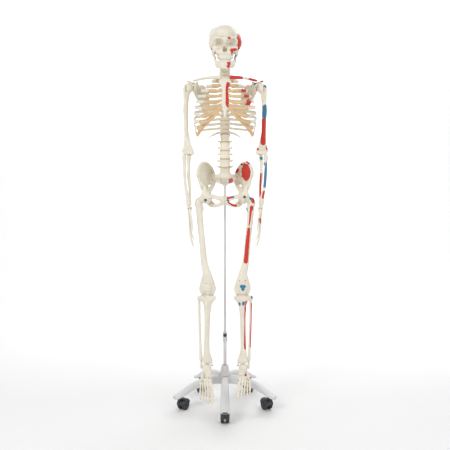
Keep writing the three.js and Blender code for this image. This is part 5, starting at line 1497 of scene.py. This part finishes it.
def build_stand():
    """Five tapered legs round a hub, the turned cone, lower tube and sleeve on it, the mast and the knob."""
    foot = np.array([0, POLE[1], 0.0])
    legs = []
    for k in range(LEG_COUNT):
        angle = leg_angle(k)
        out = np.array([math.cos(angle), math.sin(angle), 0])
        side = np.array([-math.sin(angle), math.cos(angle), 0])
        spots = [(10, 128, 15, 19), (50, 130, 15.5, 20), (90, 128, 16.5, 18.5), (130, 120, 18, 16.5),
                 (170, 104, 19.5, 14), (205, 84, 21.5, 10.5), (228, 72, 22.5, 8.5), (243, 67, 20, 7.5),
                 (249, 65.5, 13, 6)]
        legs.append(tube([foot + out * r + (0, 0, z) for r, z, _, _ in spots],
                         [(w, d) for _, _, w, d in spots], sides=32, wide=side, power=3.2, steps=5))
    join_surfaces("star_legs", legs, "stand", "base_grey", GREY_PAINT, ["star_base"])
    hub = [(0.5, 107.5), (20, 107.5), (27, 110), (29.5, 116), (29.8, 140), (29, 147.5), (26.5, 149.8),
           (0.5, 149.9)]
    join_surfaces("hub_boss", [lathe(hub, foot)], "stand", "base_grey", GREY_PAINT)
    cone = [(8.6, 150.4), (28, 150.4), (28.6, 152), (28.2, 156), (24, 162), (20.5, 170), (18.4, 180),
            (17.4, 190), (16.8, 194), (15.4, 197.2), (12, 198.3), (8.6, 198.4)]
    join_surfaces("hub_cone", [lathe(cone, foot)], "stand", "base_grey", GREY_PAINT, ["hub_collar"])
    lower = [(0.3, 108.5), (7.4, 108.5), (7.4, 326), (7.2, 329.2), (6.9, 329.8)]
    join_surfaces("lower_tube", [lathe(lower, foot)], "stand", "pole", POLE_FINISH, ["lower_pole"])
    sleeve = [(6.9, 312.4), (10, 312.4), (11, 313.4), (11, 320), (10.4, 321), (10.4, 323), (11, 324),
              (11, 350), (10.6, 356), (9.4, 357.7), (6.9, 357.8)]
    join_surfaces("sleeve_collar", [lathe(sleeve, foot)], "stand", "base_grey", GREY_PAINT, ["clamp_sleeve"])
    mast = [(0.3, 190), (6, 190), (6.4, 191), (6.4, 1068), (6.1, 1071), (0.3, 1072)]
    join_surfaces("inner_pole", [lathe(mast, foot, sides=40)], "mast", "pole", POLE_FINISH, ["upper_pole"])
    grip = [(0.3, 0), (3, 0), (3, 6.5), (5.6, 7.4), (7.4, 9.5), (8.4, 13), (8.4, 17), (7.6, 21),
            (5.4, 24.5), (2.6, 26), (0.3, 26.3)]
    join_surfaces("knob_grip", [lathe(grip, foot + CLAMP_SCREW, axis=(0, -1, 0), sides=32)], "knob", "knob",
                  BLACK_PLASTIC, ["clamp_knob"])


def build_casters():
    """Five casters, each a pair of wheels on an axle under a hood, turned about its stem."""
    for k, turn in enumerate(CASTER_TURNS):
        angle = leg_angle(k)
        centre = np.array([CASTER_REACH * math.cos(angle), CASTER_REACH * math.sin(angle) + POLE[1], 0])
        spin = np.array([[math.cos(turn), -math.sin(turn), 0], [math.sin(turn), math.cos(turn), 0],
                         [0, 0, 1]])

        def placed(surface):
            points, faces = surface
            return points @ spin.T + centre, faces

        wheels = []
        for s in (-1, 1):
            profile = [(4, 4.6), (18, 4.6), (23.4, 5), (24.7, 6.6), (25, 9), (25, 15), (24.7, 17.4),
                       (23.4, 19), (21, 19.5), (19.5, 18.4), (12, 18), (10.5, 19.2), (4, 19.4), (0.3, 19.4)]
            wheels.append(placed(lathe(profile, AXLE, axis=(s, 0, 0))))
        axle = lathe([(0.3, -5), (4, -5), (4, 5), (0.3, 5)], AXLE, axis=(1, 0, 0), sides=20)
        wheels.append(placed(axle))
        join_surfaces(f"caster_wheel_pair_{k + 1}", wheels, f"caster_roll_{k + 1}", "caster_wheel",
                      BLACK_RUBBER, [f"caster_wheels_{k + 1}"])
        hood = hood_surface()
        plate = lathe([(0.3, 54), (9.5, 54.2), (10.4, 55.2), (10.4, 57.6), (0.3, 58)], (0, 0, 0), sides=24)
        stem = lathe([(0.3, 44), (4.6, 44), (4.6, 69), (4, 69.6), (0.3, 69.6)], (0, 0, 0), sides=16)
        web = tube([(0, 0, 50), (0, 10, 50), (0, 16, 40), (0, 14, 31)],
                   [(3.2, 7), (3.2, 8), (3.2, 9), (3.2, 5)], sides=16, wide=(1, 0, 0))
        join_surfaces(f"caster_shell_{k + 1}", [placed(s) for s in (hood, plate, stem, web)],
                      f"caster_{k + 1}", "caster_black", BLACK_PLASTIC, [f"caster_hood_{k + 1}"])
    pedal = frame["nodes"]["brake_lever"]
    pedal.data.materials.clear()
    pedal.data.materials.append(BLACK_PLASTIC)


def hood_surface():
    """The cover over a caster's two wheels: a shell swept half way round the axle. Its section across the
    wheels is a flat-topped bow with rounded shoulders, out along the outer skin and back along the inner."""
    columns = 25
    rows = 40
    across = np.linspace(-1, 1, columns)
    outer = 29.4 - 2.6 * np.abs(across) ** 6
    inner = 27.0 - 2.2 * np.abs(across) ** 6
    x_outer, x_inner = 20.4 * across, 19.6 * across
    section = np.vstack([np.stack([x_outer, outer], 1), np.stack([x_inner, inner], 1)[::-1]])
    angle = np.linspace(0.16, np.pi - 0.12, rows)[:, None]
    rings = np.stack([np.broadcast_to(section[:, 0], (rows, len(section))),
                      AXLE[1] + np.cos(angle) * section[:, 1],
                      AXLE[2] + np.sin(angle) * section[:, 1]], -1)
    points, faces = grid_faces(rings)
    size = len(section)
    half = size // 2
    i = np.arange(half - 1)
    cap = np.stack([i, i + 1, size - 2 - i, size - 1 - i], 1)
    last = (len(rings) - 1) * size
    return points, np.vstack([faces, cap[:, ::-1], cap + last])


# ---------------------------------------------------------------- scene
def build_stage():
    """A paper sweep: a level floor, a quarter-round bend behind the object and an upright back, in metres."""
    half_width = 6.0
    front = -4.0
    back = 3.0
    top = 5.0
    radius = 1.2
    columns = 3
    across = np.linspace(-half_width, half_width, columns)
    bend = np.linspace(0, math.pi / 2, 12)
    curve = np.stack([back - radius + radius * np.sin(bend), radius - radius * np.cos(bend)], 1)
    rows = np.vstack([[(front, 0.0)], curve, [(back, top)]])
    points = np.stack([np.tile(across, len(rows)), *np.repeat(rows, columns, axis=0).T], 1) / MM
    i, j = np.meshgrid(np.arange(len(rows) - 1), np.arange(columns - 1), indexing="ij")
    corner = i * columns + j
    faces = np.stack([corner, corner + 1, corner + columns + 1, corner + columns], -1).reshape(-1, 4)
    material, graph, shader, where = new_material("pale_paper")
    tone = graph.blend(graph.noise(where, 3.0, 3.0), (0.93, 0.93, 0.93, 1), (0.9, 0.9, 0.9, 1))
    graph.tree.links.new(tone, shader.inputs["Base Color"])
    shader.inputs["Roughness"].default_value = 0.9
    shader.inputs["Specular IOR Level"].default_value = 0.1
    new_object("paper_sweep", points, faces, material)


def area_light(name, spot, target, size, power):
    """A square light aimed at a target: places and size in metres, power in watts."""
    light = bpy.data.lights.new(name, "AREA")
    light.size = size
    light.energy = power
    made = bpy.data.objects.new(name, light)
    made.location = spot
    way = np.array(target, float) - np.array(spot, float)
    made.rotation_euler = (math.atan2(math.hypot(way[0], way[1]), -way[2]), 0,
                           math.atan2(way[1], way[0]) - math.pi / 2)
    bpy.context.scene.collection.objects.link(made)


def build_lights():
    """A key, a fill and a rim light on the object, one on the paper behind it, and a white surround."""
    area_light("key", (-2.2, -2.6, 3.2), (0, 0, 1.1), size=1.6, power=54)
    area_light("fill", (2.6, -2.4, 1.8), (0, 0, 1.0), size=2.4, power=24)
    area_light("rim", (1.6, 1.8, 3.0), (0, 0, 1.2), size=1.6, power=20)
    area_light("backdrop", (0, 0.6, 3.3), (0, 3.0, 2.95), size=2.6, power=70)
    world = bpy.data.worlds.new("studio")
    world.use_nodes = True
    surround = world.node_tree.nodes["Background"]
    surround.inputs["Color"].default_value = (1, 1, 1, 1)
    surround.inputs["Strength"].default_value = 0.58
    bpy.context.scene.world = world


def build_camera():
    """A camera straight in front of the mast, a little above the hips and tipped slightly down."""
    distance = 2.768
    height = 1.184
    tip = 6.53
    camera = bpy.data.cameras.new("front_camera")
    camera.lens = 48.1
    camera.sensor_width = 36
    made = bpy.data.objects.new("front_camera", camera)
    made.location = (0, POLE[1] * MM - distance, height)
    made.rotation_euler = (math.radians(90 - tip), 0, 0)
    bpy.context.scene.collection.objects.link(made)
    bpy.context.scene.camera = made
    bpy.context.scene.view_settings.view_transform = "Standard"


build_camera()
build_lights()
build_stage()
build_stand()
build_casters()
build_legs()
build_pelvis()
build_spine()
build_chest()
build_shoulders()
build_arms()
build_head()
build_screws()
